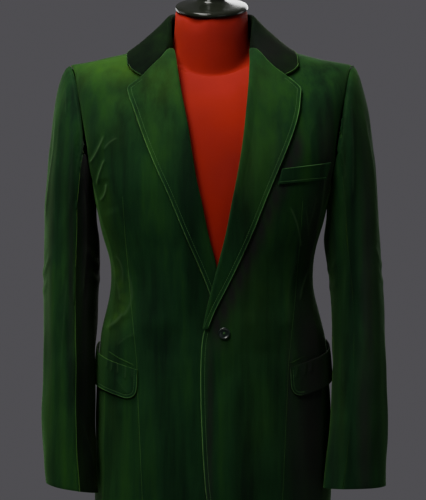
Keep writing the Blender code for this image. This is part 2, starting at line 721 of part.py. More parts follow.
def gorge_way(side, level, fold_way, upright):
    """Direction across the roll, turning at the top into the direction that the lapel falls in."""
    step = 0.01
    low = min(level, 2.0 - step)
    start = lay(side, roll_centre(side, low), low, 0.0)
    tangent = lay(side, roll_centre(side, low + step), low + step, 0.0) - start
    across = unit(np.cross(tangent, body_normal(side * roll_centre(side, level), level))) * side
    slanted = fold_way / max(float(np.dot(fold_way, across)), LEAST_SLANT)
    return across * (1.0 - upright) + slanted * upright


def roll_section(side, level, turns, levels):
    """Centre line of a turned edge, from the panel's cut edge, round the roll, out to the turns."""
    turn = float(edge_turn(side, level))
    scale = float(metres_per_turn(side, turn, level))
    radius = float(roll_radius(level))
    stand = float(roll_stand(level))
    centre_turn = turn + (radius + LAPEL_WALL / 2) / scale
    base = -BODY_WALL / 2 + radius
    dip = tuck(side, turn, level)
    points = [lay(side, centre_turn + STEM / scale, level, dip - BODY_WALL / 2)]
    upright = float(ease((level - STAND_START) / STAND_SPAN))
    facing = body_normal(side * centre_turn, level)
    stand_way = unit(facing * (1.0 - upright) + np.array((0.0, 0.0, upright)))
    start = lay(side, centre_turn, level, 0.0)
    flat = lay(side, turns, levels, 0.0)
    fold_way = gorge_way(side, level, unit(flat[1] - start), upright)
    for degrees in ROLL_ANGLES:
        angle = np.radians(degrees)
        height = dip + base + radius * np.sin(angle)
        if degrees < 0:
            points.append(lay(side, centre_turn - radius * np.cos(angle) / scale, level, height))
        else:
            points.append(lay(side, centre_turn, level, height) - fold_way * radius * np.cos(angle)
                          + stand_way * stand)
    rest = LAPEL_GAP + LAPEL_WALL / 2 + GORGE_EXTRA_GAP * ease((levels - STAND_START) / STAND_SPAN)
    away = np.linalg.norm(flat - start, axis=-1)
    fade = np.exp(-(away / (ROLL_FADE + ROLL_FADE_STAND * stand)) ** ROLL_FADE_POWER)
    height = rest + (base + radius - rest) * fade
    fall = lay(side, turns, levels, height + tuck(side, turns, levels))
    fall = fall + stand_way * (stand * fade)[:, None]
    return np.concatenate([np.array(points), fall])


def lapel_centre_lines(side):
    """Grid of the lapel's centre surface, from the break up to the gorge."""
    top_turns, top_levels = top_path(side, (LAPEL_TIP[side],))
    lapel_keys = column(LAPEL_EDGE[side], "level")
    lapel_turns = column(LAPEL_EDGE[side], "turn")
    top_roll = roll_centre(side, 2.0)
    top_share = (top_turns - top_roll) / (top_turns[-1] - top_roll)
    low_share = np.array(LAPEL_SHARES)
    lines = []
    for roll_level in body_rows()[SKIRT_ROWS:]:
        up = (roll_level - BREAK_LEVEL) / (2.0 - BREAK_LEVEL)
        levels = BREAK_LEVEL + (top_levels - BREAK_LEVEL) * up
        share = low_share + (top_share - low_share) * up ** 2
        roll = roll_centre(side, levels)
        outer = smooth(lapel_keys, lapel_turns, levels)
        outer = np.maximum(outer, roll + LAPEL_LEAST_WIDTH / metres_per_turn(side, roll, levels))
        turns = roll + (outer - roll) * share
        turns = turns + (top_turns - turns) * ease((up - GORGE_BLEND) / (1.0 - GORGE_BLEND))
        lines.append(roll_section(side, roll_level, turns, levels))
    return np.array(lines)


def wall_from_centre(name, lines, normals, thickness, gap, material, **borders):
    outer = draw_in(lines + normals * thickness / 2, gap, **borders)
    inner = draw_in(lines - normals * thickness / 2, gap, **borders)
    return make_wall(name, outer, inner, material)


def lapel_normals(side, lines):
    normals = grid_normals(lines) * side
    levels = body_rows()[SKIRT_ROWS:]
    centre = roll_centre(side, levels)
    normals[:, 0] = -body_normal(side * (centre + STEM / metres_per_turn(side, centre, levels)), levels)
    return normals


def make_lapel(side, material):
    lines = lapel_centre_lines(side)
    normals = lapel_normals(side, lines)
    name = side_name(side) + "_lapel"
    return wall_from_centre(name, lines, normals, LAPEL_WALL, SEAM_GAP, material, top=True)


def collar_section(key):
    """Centre line of the collar: up the stand, over the fold and down the fall."""
    bottom = np.array(key.bottom)
    fold = np.array(key.fold)
    outward = unit(np.array((key.outward[0], key.outward[1], 0.0)))
    upward = np.array((0.0, 0.0, 1.0))

    def round_fold(degrees):
        angle = np.radians(degrees)
        return fold + (outward * np.cos(angle) + upward * np.sin(angle)) * COLLAR_ROLL

    edge = lay(LEFT, key.edge_turn, key.edge_level, LAPEL_GAP + COLLAR_WALL / 2)
    start = fold - outward * COLLAR_ROLL
    fall_start = round_fold(COLLAR_FALL_ANGLE)
    points = [bottom + (start - bottom) * share for share in COLLAR_RISE_SHARES]
    points += [round_fold(degrees) for degrees in COLLAR_ROLL_ANGLES]
    for share in np.linspace(0.0, 1.0, COLLAR_FALL_POINTS):
        points.append(fall_start + (edge - fall_start) * share)
    return np.array(points)


def collar_end(side):
    """Centre line of the collar at the gorge, on from the top of the lapel."""
    turns, levels = top_path(side, (COLLAR_CORNER[side], COLLAR_TIP[side]))
    section = roll_section(side, 2.0, turns, levels)
    foot_end = len(COLLAR_FOOT_SHARES)
    above = section[foot_end]
    foot = np.array((above[0], above[1], section[foot_end - 1][2]))
    for k, share in enumerate(COLLAR_FOOT_SHARES):
        section[k] = foot + (above - foot) * share
    return section


def collar_centre_lines():
    left = [collar_section(key) for key in COLLAR_KEYS]
    mirror = np.array((-1.0, 1.0, 1.0))
    right = [section * mirror for section in left[1:]]
    sections = np.array([collar_end(LEFT)] + left[::-1] + right + [collar_end(RIGHT)])
    fold_column = len(COLLAR_RISE_SHARES) + 2
    steps = np.linalg.norm(np.diff(sections[:, fold_column], axis=0), axis=-1)
    steps += np.linalg.norm(np.diff(sections[:, -1], axis=0), axis=-1)
    keys = np.concatenate([[0.0], np.cumsum(steps)])
    at = []
    for start, end in zip(keys[:-1], keys[1:]):
        at += list(np.linspace(start, end, COLLAR_STATIONS_A_SPAN + 1)[:-1])
    at.append(keys[-1])
    lines = smooth(keys, sections, np.array(at))
    lifted = clear_of_body(lines, LAPEL_GAP + COLLAR_WALL / 2, 1.0, 2.0)
    fall = len(COLLAR_RISE_SHARES) + len(COLLAR_ROLL_ANGLES)
    lines[1:-1, fall:] = lifted[1:-1, fall:]
    return lines


def body_samples(low_level, high_level):
    turns = np.linspace(-180.0, 180.0, SAMPLE_TURNS + 1)[:-1]
    share = 1.0 - (1.0 - np.linspace(0.0, 1.0, SAMPLE_LEVELS)) ** HIGH_CROWD
    levels = low_level + (high_level - low_level) * share
    turns, levels = np.meshgrid(turns, levels)
    return body(turns, levels).reshape(-1, 3), body_normal(turns, levels).reshape(-1, 3)


def clear_of_body(points, least, low_level, high_level):
    """Move points out until they are at least that far above the body's surface."""
    samples, normals = body_samples(low_level, high_level)
    flat = points.reshape(-1, 3).copy()
    least = np.broadcast_to(least, points.shape[:-1]).reshape(-1)
    for k, point in enumerate(flat):
        nearest = np.argmin(np.sum((samples - point) ** 2, axis=-1))
        height = np.dot(point - samples[nearest], normals[nearest])
        if height < least[k]:
            flat[k] = point + normals[nearest] * (least[k] - height)
    return flat.reshape(points.shape)


def make_collar(material):
    lines = collar_centre_lines()
    normals = grid_normals(lines)
    foot = len(COLLAR_FOOT_SHARES) - 1
    notch = len(lines[0]) - PAST_NOTCH_POINTS - 1
    for side, row in ((LEFT, 0), (RIGHT, -1)):
        lapel = lapel_normals(side, lapel_centre_lines(side))[-1]
        normals[row, foot:notch] = lapel[foot:notch]
    return wall_from_centre("collar", lines, normals, COLLAR_WALL, GORGE_GAP, material, bottom=True, top=True)


def armhole_loop(side):
    """Points of the armhole from the shoulder down the front, under the arm and up the back."""
    high = body_rows()[LOW_ROWS - 1:][::-1]
    front = lay(side, armhole_turn(high, "front"), high, 0.0)
    front_normal = body_normal(side * armhole_turn(high, "front"), high)
    turns, levels = side_body_grid()
    under = lay(side, turns[-1, 1:-1], levels[-1, 1:-1], 0.0)
    under_normal = body_normal(side * turns[-1, 1:-1], levels[-1, 1:-1])
    rising = high[::-1]
    back = lay(side, armhole_turn(rising, "back"), rising, 0.0)
    back_normal = body_normal(side * armhole_turn(rising, "back"), rising)
    points = np.concatenate([front, under, back[:-1]])
    normals = np.concatenate([front_normal, under_normal, back_normal[:-1]])
    bottom = len(front) + len(under) // 2
    closed = np.concatenate([points, points[:1]])
    steps = np.linalg.norm(np.diff(closed, axis=0), axis=-1)
    run = np.concatenate([[0.0], np.cumsum(steps)])[:-1]
    total = np.sum(steps)
    angles = np.interp(run, [0.0, run[bottom], total], [0.0, 180.0, 360.0])
    return points, normals, angles


def signed_power(value, power):
    return np.sign(value) * np.abs(value) ** power


def arm_ring(side, height, angles):
    """Ring of the sleeve at a height: angle 0 away from the body, 90 at the front."""
    rows = sorted(SLEEVE[side], key=lambda row: row.height)
    keys = column(rows, "height")
    outer = smooth(keys, column(rows, "outer"), height)
    inner = smooth(keys, column(rows, "inner"), height)
    centre_y = smooth(keys, column(rows, "centre_y"), height)
    half_depth = smooth(keys, column(rows, "half_depth"), height)
    slant = smooth(keys, column(rows, "slant"), height)
    angle = np.radians(angles)
    power = 2.0 / ARM_SQUARENESS
    x = (outer + inner) / 2 + (outer - inner) / 2 * signed_power(np.cos(angle), power)
    y = centre_y - half_depth * signed_power(np.sin(angle), power)
    z = height + slant * np.cos(angle)
    return np.stack([side * x, y, z], axis=-1)


def sleeve_fold_height(side, angles, height):
    """How far the sleeve's large folds lift or sink the cloth there."""
    total = np.zeros(angles.shape)
    for fold in [row for row in SLEEVE_FOLDS if row.side == side]:
        down = (fold.top_height - height) / (fold.top_height - fold.low_height)
        middle = fold.top_angle + (fold.low_angle - fold.top_angle) * down
        off = (angles - middle + 180.0) % 360.0 - 180.0
        total += fold.height * fade_out(down) * np.exp(-(off / fold.half_angle) ** 2)
    return total


def sleeve_normals(side, tube):
    """Directions out of the sleeve, all round it."""
    normals = grid_normals(tube, close_columns=True)
    centre = tube.mean(axis=1, keepdims=True)
    if np.sum(normals * (tube - centre)) < 0:
        return -normals
    return normals


def sleeve_tube(side):
    """Outer surface of the whole sleeve, rows from the armhole to the cuff, columns round it."""
    start, armhole_normals, angles = armhole_loop(side)
    angle = np.radians(angles)
    outwardness = (1.0 + np.cos(angle)) / 2
    start = start + armhole_normals * (ARMHOLE_LIFT * (1.0 - outwardness))[:, None]
    end = arm_ring(side, np.full(angles.shape, BICEPS_HEIGHT), angles)
    drop = HEAD_DROP * (1.0 - outwardness) ** HEAD_DROP_POWER
    leave = np.stack([side * (SLEEVE_HEAD_REACH[side] * outwardness + HEAD_LEAST_REACH),
                      -HEAD_SPREAD * np.sin(angle),
                      HEAD_RISE * outwardness ** 3 - drop], axis=-1)
    fall = np.abs(start[:, 2] - end[:, 2])
    arrive = np.stack([np.zeros(angles.shape), np.zeros(angles.shape), -HEAD_ARRIVAL * fall], axis=-1)
    rows = []
    for t in np.linspace(0.0, 1.0, HEAD_ROWS) ** HEAD_CROWD:
        rows.append(between(t, start, leave, end, arrive))
    cuff = min(row.height for row in SLEEVE[side])
    for height in np.linspace(BICEPS_HEIGHT, cuff, ARM_ROWS + 1)[1:]:
        rows.append(arm_ring(side, np.full(angles.shape, height), angles))
    tube = np.array(rows)
    around = np.broadcast_to(angles, tube.shape[:2])
    heights = sleeve_fold_height(side, around, tube[..., 2])
    tube[1:] += (sleeve_normals(side, tube) * heights[..., None])[1:]
    below = start[:, 2].min() - tube[..., 2]
    least = np.clip(ARMHOLE_LIFT + CLEARANCE_SLOPE * below, 0.0, HIP_CLEARANCE)
    least = np.where(below < -0.002, -1.0, least)
    tube[1:] = clear_of_body(tube[1:], least[1:], -0.05, SEAM_TOP_LEVEL)
    return tube, armhole_normals, angles


def make_sleeve(side, material):
    tube, armhole_normals, angles = sleeve_tube(side)
    normals = sleeve_normals(side, tube)
    weight = ease((np.cos(np.radians(angles)) + 0.3) / 0.9)[:, None]
    normals[0] = unit(normals[0] * (1.0 - weight) + armhole_normals * weight)
    inner = tube - normals * SLEEVE_WALL
    fore = int(np.argmin(np.abs(angles - FORE_SEAM_ANGLE)))
    hind = int(np.argmin(np.abs(angles - HIND_SEAM_ANGLE)))
    pieces = {
        "_top_sleeve": list(range(hind, len(angles))) + list(range(0, fore + 1)),
        "_under_sleeve": list(range(fore, hind + 1)),
    }
    for ending, columns in pieces.items():
        grids = []
        for surface in (tube, inner):
            part = draw_in(surface[:, columns], SLEEVE_SEAM_GAP, first=True, last=True)
            grids.append(draw_in(part, ARMHOLE_GAP, bottom=True))
        make_wall(side_name(side) + ending, grids[0], grids[1], material)


def patch_rows(corner):
    """Share of the depth, and of the corner that is cut away, at each row of a patch."""
    if corner == 0.0:
        return np.array((0.0, 1.0)), np.array((0.0, 0.0))
    arc = np.radians(np.linspace(0.0, 90.0, CORNER_STEPS + 1))
    straight = 1.0 - CORNER_DEPTH
    down = np.concatenate([[0.0, straight / 2], straight + CORNER_DEPTH * np.sin(arc)])
    cut = np.concatenate([[0.0, 0.0], 1.0 - np.cos(arc)])
    return down, cut


def patch_grid(patch, columns):
    """Turns and levels of a slanted patch whose lower corners may be round."""
    down, cut = patch_rows(patch.corner)
    across, down = np.meshgrid(np.linspace(0.0, 1.0, columns), down)
    inset = patch.corner * cut[:, None]
    place = inset + (1.0 - 2.0 * inset) * across
    depth = patch.start_depth + (patch.end_depth - patch.start_depth) * place
    level = patch.start_level + (patch.end_level - patch.start_level) * place - depth * down
    turn = patch.start_turn + (patch.end_turn - patch.start_turn) * place
    return turn, level


def make_patch(name, side, patch, columns, material):
    turns, levels = patch_grid(patch, columns)
    inner = lay(side, turns, levels, LAYER_GAP)
    outer = lay(side, turns, levels, LAYER_GAP + TRIM_WALL)
    return make_wall(name, outer, inner, material)


def make_button(material):
    centre = lay(LEFT, BUTTON_TURN, BUTTON_LEVEL, BUTTON_LIFT)
    facing = body_normal(BUTTON_TURN, BUTTON_LEVEL)
    side_way = unit(np.cross(np.array((0.0, 0.0, 1.0)), facing))
    up_way = np.cross(facing, side_way)
    profile = [(row.radius * BUTTON_RADIUS, row.height * BUTTON_THICK) for row in BUTTON_PROFILE]

    def place(points):
        return centre + points[:, :1] * side_way + points[:, 1:2] * up_way + points[:, 2:] * facing

    return make_turned("front_button", profile, BUTTON_SIDES, material, place)


def form_turns():
    """Turns round the form, a neckline point apart in front and closer at the shoulder ends."""
    at_neck = np.linspace(0.0, NECK_TURN, FORM_NECK_SPANS + 1)
    at_shoulder = np.linspace(NECK_TURN, SHOULDER_TURN, FORM_SHOULDER_SPANS + 1)[1:]
    folds = np.concatenate([at_neck, at_shoulder, [90.0]])
    half_turns = np.concatenate([folds, 180.0 - folds[-2::-1]])
    return np.concatenate([half_turns, -half_turns[-2:0:-1]])


def form_top(turns, folds):
    """Top edge of the form's torso, just under the shoulder seams and inside the neckline."""
    tops = seam_top(folds, np.abs(turns) <= 90.0)
    tops[:, 0] *= np.where(turns < 0, -1.0, 1.0)
    near_neck = ease(1.0 - (folds - NECK_TURN) / FORM_NECK_FADE)
    near_end = ease((folds - FORM_DROP_FOLD) / FORM_DROP_SPAN)
    short = FORM_SHOULDER_END * ease((folds - FORM_SHOULDER_END_FOLD) / FORM_SHOULDER_END_SPAN)
    tops[:, 0] -= np.sign(turns) * short
    inward = unit((np.array((0.0, NECK_CENTRE_Y, 0.0)) - tops) * np.array((1.0, 1.0, 0.0)))
    tops += inward * (FORM_NECK_PULL * near_neck)[:, None]
    tops[:, 2] -= FORM_INSET[-1].inset + FORM_NECK_DROP * near_neck + FORM_SHOULDER_DROP * near_end
    return tops


def form_rings(turns, folds, tops):
    """Rings of the form's torso from below the hem up to the shoulders."""
    levels = np.concatenate([[-FORM_BELOW_HEM / (UNDERARM_HEIGHT - HEM_HEIGHT)], body_rows()[1:-1]])
    levels = levels[levels < FORM_LAST_RING]
    insets = smooth(column(FORM_INSET, "level"), column(FORM_INSET, "inset"), levels)
    turns, grid_levels = np.meshgrid(turns, levels)
    normals = body_normal(turns, grid_levels)
    rings = body(turns, grid_levels) - normals * insets[:, None, None]
    high = ease((grid_levels - FORM_SHORT_LEVEL) / FORM_SHORT_LEVEL_SPAN)
    narrow = FORM_SHOULDER_SHORT * ease((folds - FORM_END_FOLD) / FORM_SHORT_SPAN) * high
    rings[..., 0] -= np.sign(turns) * narrow
    near_neck = ease(1.0 - (folds - NECK_TURN) / FORM_NECK_FADE)
    deeper = FORM_NECK_DROP * near_neck * ease((grid_levels - FORM_NECK_DROP_LEVEL) / FORM_NECK_DROP_SPAN)
    rings -= normals * deeper[..., None]
    soft = ease((levels - FORM_SMOOTHING_LEVEL) / 0.3)[:, None, None]
    for _ in range(FORM_SMOOTHING):
        beside = (np.roll(rings, 1, axis=1) + np.roll(rings, -1, axis=1)) / 2
        rings += (beside - rings) * 0.5 * soft
    start = int(np.searchsorted(levels, FORM_END_LEVEL))
    up = (levels[start:] - levels[start]) / (2.0 - levels[start])
    straight = rings[start] + (tops - rings[start]) * up[:, None, None]
    at_end = ease((folds - FORM_END_FOLD) / FORM_END_SPAN)[None, :, None]
    rings[start:] += (straight - rings[start:]) * at_end
    rings[0, :, 2] = HEM_HEIGHT - FORM_BELOW_HEM
    return rings


def neck_rings(base):
    """Rings from the neckline up to the tilted top of the neck."""
    angle = np.arctan2(base[:, 0], -(base[:, 1] - NECK_CENTRE_Y))
    rim = np.stack([NECK_HALF_WIDTH * np.sin(angle),
                    NECK_CENTRE_Y - NECK_HALF_DEPTH * np.cos(angle),
                    NECK_TOP - NECK_TILT * NECK_HALF_DEPTH * np.cos(angle)], axis=-1)
    leave = (rim - base) * NECK_LEAVE
    arrive = (rim - base) * NECK_ARRIVE
    return [between(t, base, leave, rim, arrive) for t in NECK_RINGS]


def join_rings(low, high):
    """Triangles between two rings of point numbers; the upper ring may repeat a number."""
    faces = []
    for k in range(len(low)):
        n = (k + 1) % len(low)
        faces.append([low[k], low[n], high[n]])
        if high[k] != high[n]:
            faces.append([low[k], high[n], high[k]])
    return faces


def make_form(material):
    """Torso and neck in one closed body, inside the jacket."""
    turns = form_turns()
    folds = np.where(np.abs(turns) <= 90.0, np.abs(turns), 180.0 - np.abs(turns))
    count = len(turns)
    tops = form_top(turns, folds)
    rings = form_rings(turns, folds, tops)
    points = [point for ring in rings for point in ring]
    faces = [list(range(count))[::-1]]
    shared = {}
    top_row = []
    for point in tops:
        key = tuple(np.round(point, 6))
        if key not in shared:
            shared[key] = len(points)
            points.append(point)
        top_row.append(shared[key])
    rows = [[ring * count + k for k in range(count)] for ring in range(len(rings))] + [top_row]
    for low, high in zip(rows[:-1], rows[1:]):
        faces += join_rings(low, high)
    at_neck = [k for k in range(count) if folds[k] <= NECK_TURN]
    around = sorted(at_neck, key=lambda k: turns[k] % 360.0)
    previous = list(dict.fromkeys(top_row[k] for k in around))
    for ring in neck_rings(np.array([points[k] for k in previous])):
        fresh = [len(points) + k for k in range(len(previous))]
        points += list(ring)
        for k in range(len(previous)):
            n = (k + 1) % len(previous)
            faces.append([previous[k], previous[n], fresh[n], fresh[k]])
        previous = fresh
    faces.append(previous)
    make_object("form_torso", np.array(points), faces, material)


def cap_place(points):
    """Tilt the cap onto the sloping top of the neck."""
    placed = points.copy()
    placed[:, 1] = NECK_CENTRE_Y + points[:, 1] * NECK_HALF_DEPTH / NECK_HALF_WIDTH
    placed[:, 2] = NECK_TOP + CAP_GAP + points[:, 2] + NECK_TILT * (placed[:, 1] - NECK_CENTRE_Y)
    return placed


def make_neck_cap(material):
    r = NECK_HALF_WIDTH
    edge = CAP_ROUNDING
    profile = [(0.0, 0.0), (r - edge, 0.0), (r, edge), (r, CAP_THICK - edge), (r - 2 * edge, CAP_THICK)]
    profile += [(row.radius, CAP_THICK + row.height) for row in FINIAL_PROFILE]
    make_turned("neck_cap", profile, CAP_SIDES, material, cap_place)


def make_pole(material):
    bottom = BASE_THICK + HUB_HEIGHT - SOCKET_DEPTH + CONTACT_GAP
    top = HEM_HEIGHT - FORM_BELOW_HEM - CONTACT_GAP
    profile = [(0.0, bottom), (POLE_RADIUS, bottom)]
    profile += [(POLE_RADIUS + row.radius, top + row.height) for row in POLE_TOP_PROFILE]
    profile += [(PLATE_RADIUS, top - PLATE_THICK), (PLATE_RADIUS, top), (0.0, top)]
    make_turned("stand_pole", profile, POLE_SIDES, material)


def make_base(material):
    r = BASE_RADIUS
    hub = HUB_RADIUS
    socket = POLE_RADIUS + SOCKET_GAP
    top = BASE_THICK + HUB_HEIGHT
    profile = [(0.0, 0.0), (r - 0.002, 0.0), (r, 0.003), (r, BASE_THICK * 0.6), (r - 0.006, BASE_THICK * 0.9)]
    profile += [(r - 0.016, BASE_THICK), (hub + 0.020, BASE_THICK + 0.004), (hub, BASE_THICK + 0.014)]
    profile += [(hub * 0.8, top - 0.004), (hub * 0.74, top), (socket, top), (socket, top - SOCKET_DEPTH)]
    profile += [(0.0, top - SOCKET_DEPTH)]
    make_turned("stand_base", profile, BASE_SIDES, material)


def main():
    clear_scene()
    velvet = make_material("velvet", VELVET_GREEN, 0.85)
    red_cloth = make_material("form_cloth", FORM_RED, 0.80)
    cap_black = make_material("cap_black", GLOSS_BLACK, 0.12)
    stand_black = make_material("stand_black", GLOSS_BLACK, 0.25)
    button_black = make_material("button_black", BUTTON_BLACK, 0.40)
    for side in (LEFT, RIGHT):
        make_front(side, velvet)
        make_side_body(side, velvet)
        make_back(side, velvet)
        make_lapel(side, velvet)
        make_sleeve(side, velvet)
        make_patch(side_name(side) + "_flap", side, FLAP[side], FLAP_COLUMNS, velvet)
    make_collar(velvet)
    make_patch("breast_welt", LEFT, WELT, WELT_COLUMNS, velvet)
    make_button(button_black)
    make_form(red_cloth)
    make_neck_cap(cap_black)
    make_pole(stand_black)
    make_base(stand_black)


main()
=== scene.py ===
"""Looks of the velvet smoking jacket on its dress form.

Each cut piece of cloth is a fine sheet grown from the outer face of its solid, with its creases
raised or sunk, and then given its thickness. Front faces -Y, +X is the wearer's left.
"""
import math
from collections import namedtuple

import bmesh
import bpy
import numpy as np
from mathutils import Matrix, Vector, kdtree
from mathutils.bvhtree import BVHTree


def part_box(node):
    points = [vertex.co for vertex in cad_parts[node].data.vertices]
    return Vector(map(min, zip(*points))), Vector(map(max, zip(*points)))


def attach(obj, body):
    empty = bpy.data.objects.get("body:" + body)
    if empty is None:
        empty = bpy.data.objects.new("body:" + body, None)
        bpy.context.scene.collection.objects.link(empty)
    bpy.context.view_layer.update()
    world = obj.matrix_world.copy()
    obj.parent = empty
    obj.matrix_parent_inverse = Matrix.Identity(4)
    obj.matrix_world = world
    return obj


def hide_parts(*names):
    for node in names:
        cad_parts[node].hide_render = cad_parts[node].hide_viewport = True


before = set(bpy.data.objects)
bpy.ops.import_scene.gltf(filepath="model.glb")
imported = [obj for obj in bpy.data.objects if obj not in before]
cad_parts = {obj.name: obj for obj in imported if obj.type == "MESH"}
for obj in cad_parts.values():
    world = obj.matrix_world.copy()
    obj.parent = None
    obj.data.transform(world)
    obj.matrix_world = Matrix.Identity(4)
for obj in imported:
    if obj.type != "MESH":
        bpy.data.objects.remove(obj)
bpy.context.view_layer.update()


def table(kind, *rows):
    """Rows of a table, with the named columns of their kind."""
    return tuple(kind(*row) for row in rows)


# Camera, measured from the photograph
PHOTO_HEIGHT = 500.0
FOCAL_PIXELS = 1920.0
SENSOR = 36.0
CAMERA_PLACE = (0.0023, -3.0, 1.131)

# Stage
FLOOR_RADIUS = 1.45
FLOOR_SIDES = 96
FLOOR_COLOUR = (0.62, 0.61, 0.6, 1.0)
WORLD_COLOUR = (0.085, 0.082, 0.09, 1.0)

# Cloth
SHARP_ANGLE = math.radians(50.0)
CLOTH_BEND = math.radians(60.0)
ROUND_BEND = math.radians(40.0)
QUAD_SHAPE = math.radians(60.0)
WELD = 1e-5
EDGE_ROUNDING = 0.0008
MILLIMETRE = 0.001
LARGE_GROUPS = ("body", "sleeve")

# Middle lines of the body and of a sleeve, which their outer faces point away from
BODY_MIDDLE = 0.012
BODY_TOP = 1.3
SLEEVE_AWAY = 0.222
SLEEVE_MIDDLE = 0.006
SLEEVE_TOP = 1.2
SLEEVE_FALL = 0.43
SLEEVE_FORWARD = 0.037

# For each group of pieces: how often its mesh is refined, its longest strip of quads in metres, and
# how much paler its crease crests are painted, as wear and painted highlight
Group = namedtuple("Group", "fineness longest_strip wear")
GROUPS = {
    "body": Group(3, 0.016, 1.0), "sleeve": Group(2, 0.011, 0.35), "lapel": Group(2, 0.01, 0.1),
    "collar": Group(2, 0.03, 0.0), "flap": Group(2, 0.008, 0.6), "welt": Group(2, 0.01, 0.0),
}

# Pieces of cloth: wall, flat size and area of each cut, and what it lies on
Cloth = namedtuple("Cloth", "node group wall flat area rests_on")
CLOTH = table(Cloth,
    ("right_front", "body", 0.0025, (0.26, 0.8), 0.148, "form_torso"),
    ("left_front", "body", 0.0025, (0.26, 0.8), 0.14, "form_torso"),
    ("right_side_body", "body", 0.0025, (0.15, 0.54), 0.068, "form_torso"),
    ("left_side_body", "body", 0.0025, (0.15, 0.54), 0.068, "form_torso"),
    ("right_back", "body", 0.0025, (0.24, 0.8), 0.15, "form_torso"),
    ("left_back", "body", 0.0025, (0.24, 0.8), 0.15, "form_torso"),
    ("right_lapel", "lapel", 0.0025, (0.12, 0.46), 0.026, "right_front"),
    ("left_lapel", "lapel", 0.0025, (0.12, 0.46), 0.026, "left_front"),
    ("collar", "collar", 0.0028, (0.5, 0.1), 0.041, "form_torso"),
    ("right_top_sleeve", "sleeve", 0.002, (0.25, 0.68), 0.138, "right_front"),
    ("left_top_sleeve", "sleeve", 0.002, (0.25, 0.68), 0.138, "left_front"),
    ("right_under_sleeve", "sleeve", 0.002, (0.15, 0.53), 0.059, "right_front"),
    ("left_under_sleeve", "sleeve", 0.002, (0.15, 0.53), 0.059, "left_front"),
    ("right_flap", "flap", 0.002, (0.16, 0.055), 0.0077, "right_front"),
    ("left_flap", "flap", 0.002, (0.16, 0.055), 0.0077, "left_front"),
    ("breast_welt", "welt", 0.002, (0.09, 0.028), 0.0023, "left_front"),
)

# Creases in millimetres. Each runs from its start past its middle to its end, seen
# from the front or back as (x, z) and from a side as (y, z). A height below 0 is a trough.
Crease = namedtuple("Crease", "start middle end width height")
FRONT_OF_BODY = table(Crease,
    ((-187, 1264), (-175, 1278), (-161, 1307), 2.7, 1.9),
    ((-176, 1228), (-170, 1248), (-161, 1270), 2.4, 2.2),
    ((-172, 1205), (-163, 1217), (-160, 1233), 2.7, 1.8),
    ((-164, 1281), (-154, 1293), (-140, 1301), 3.4, 0.9),
    ((-167, 1240), (-160, 1214), (-151, 1184), 12, -2.5),
    ((-130, 1104), (-121, 1058), (-140, 1026), 6.8, 1.9),
    ((-134, 1036), (-146, 1022), (-166, 1010), 5.4, 2.3),
    ((-147, 1086), (-141, 1068), (-140, 1050), 5, 0.8),
    ((-146, 983), (-128, 999), (-112, 1004), 5.4, 0.8),
    ((-149, 1125), (-136, 1104), (-137, 1076), 5, 1),
    ((-17, 1001), (-69, 1022), (-111, 1010), 12, 1.1),
    ((-11, 976), (-63, 973), (-105, 986), 12, -1),
    ((-60, 949), (-64, 843), (-57, 690), 18, 1.3),
    ((-136, 889), (-142, 813), (-133, 690), 12, -1.6),
    ((117, 1198), (130, 1167), (136, 1131), 3.6, 1),
    ((143, 1195), (146, 1170), (149, 1143), 3.4, 0.7),
    ((161, 1219), (154, 1186), (143, 1155), 4.2, 0.7),
    ((172, 1258), (169, 1207), (157, 1149), 3.4, 1.4),
    ((133, 1131), (117, 1070), (120, 1004), 9, 2.2),
    ((120, 1010), (130, 986), (113, 952), 5.4, 0.5),
    ((160, 1116), (143, 1086), (134, 1049), 4.1, 1.2),
    ((161, 1331), (148, 1301), (151, 1267), 7, 0.9),
    ((37, 1013), (77, 1025), (116, 1013), 12, 1.1),
    ((37, 983), (77, 976), (111, 979), 12, -1),
    ((70, 946), (78, 843), (72, 690), 18, -1.3),
    ((31, 946), (37, 858), (30, 690), 14, 1),
    ((134, 889), (140, 813), (133, 690), 12, 1.5),
)
BACK_OF_BODY = table(Crease,
    ((-178, 1262), (-160, 1288), (-128, 1306), 3.4, 1.7),
    ((-174, 1226), (-150, 1240), (-112, 1246), 4.1, 1.6),
    ((-170, 1196), (-152, 1204), (-132, 1200), 3.4, 1.2),
    ((180, 1268), (164, 1296), (136, 1318), 3.4, 1.6),
    ((176, 1232), (148, 1250), (118, 1252), 4.1, 1.7),
    ((170, 1194), (156, 1208), (126, 1212), 3.4, 1.1),
    ((-152, 1114), (-112, 1088), (-58, 1099), 8, 1.9),
    ((-147, 1074), (-124, 1058), (-90, 1066), 5, 1.4),
    ((151, 1100), (101, 1079), (34, 1097), 8, 1.8),
    ((148, 1062), (126, 1050), (98, 1062), 6, 1.3),
    ((-84, 1384), (-40, 1372), (10, 1378), 8, 1.3),
    ((78, 1362), (44, 1356), (8, 1362), 8, 1.1),
    ((-96, 1010), (-104, 880), (-92, 690), 16, 1.8),
    ((-40, 980), (-46, 850), (-38, 690), 15, -1.8),
    ((44, 990), (50, 860), (42, 690), 15, 1.6),
    ((102, 1000), (112, 870), (100, 690), 16, -1.9),
    ((-66, 1250), (-62, 1190), (-70, 1130), 12, -1.4),
    ((70, 1256), (64, 1196), (72, 1136), 12, -1.4),
)
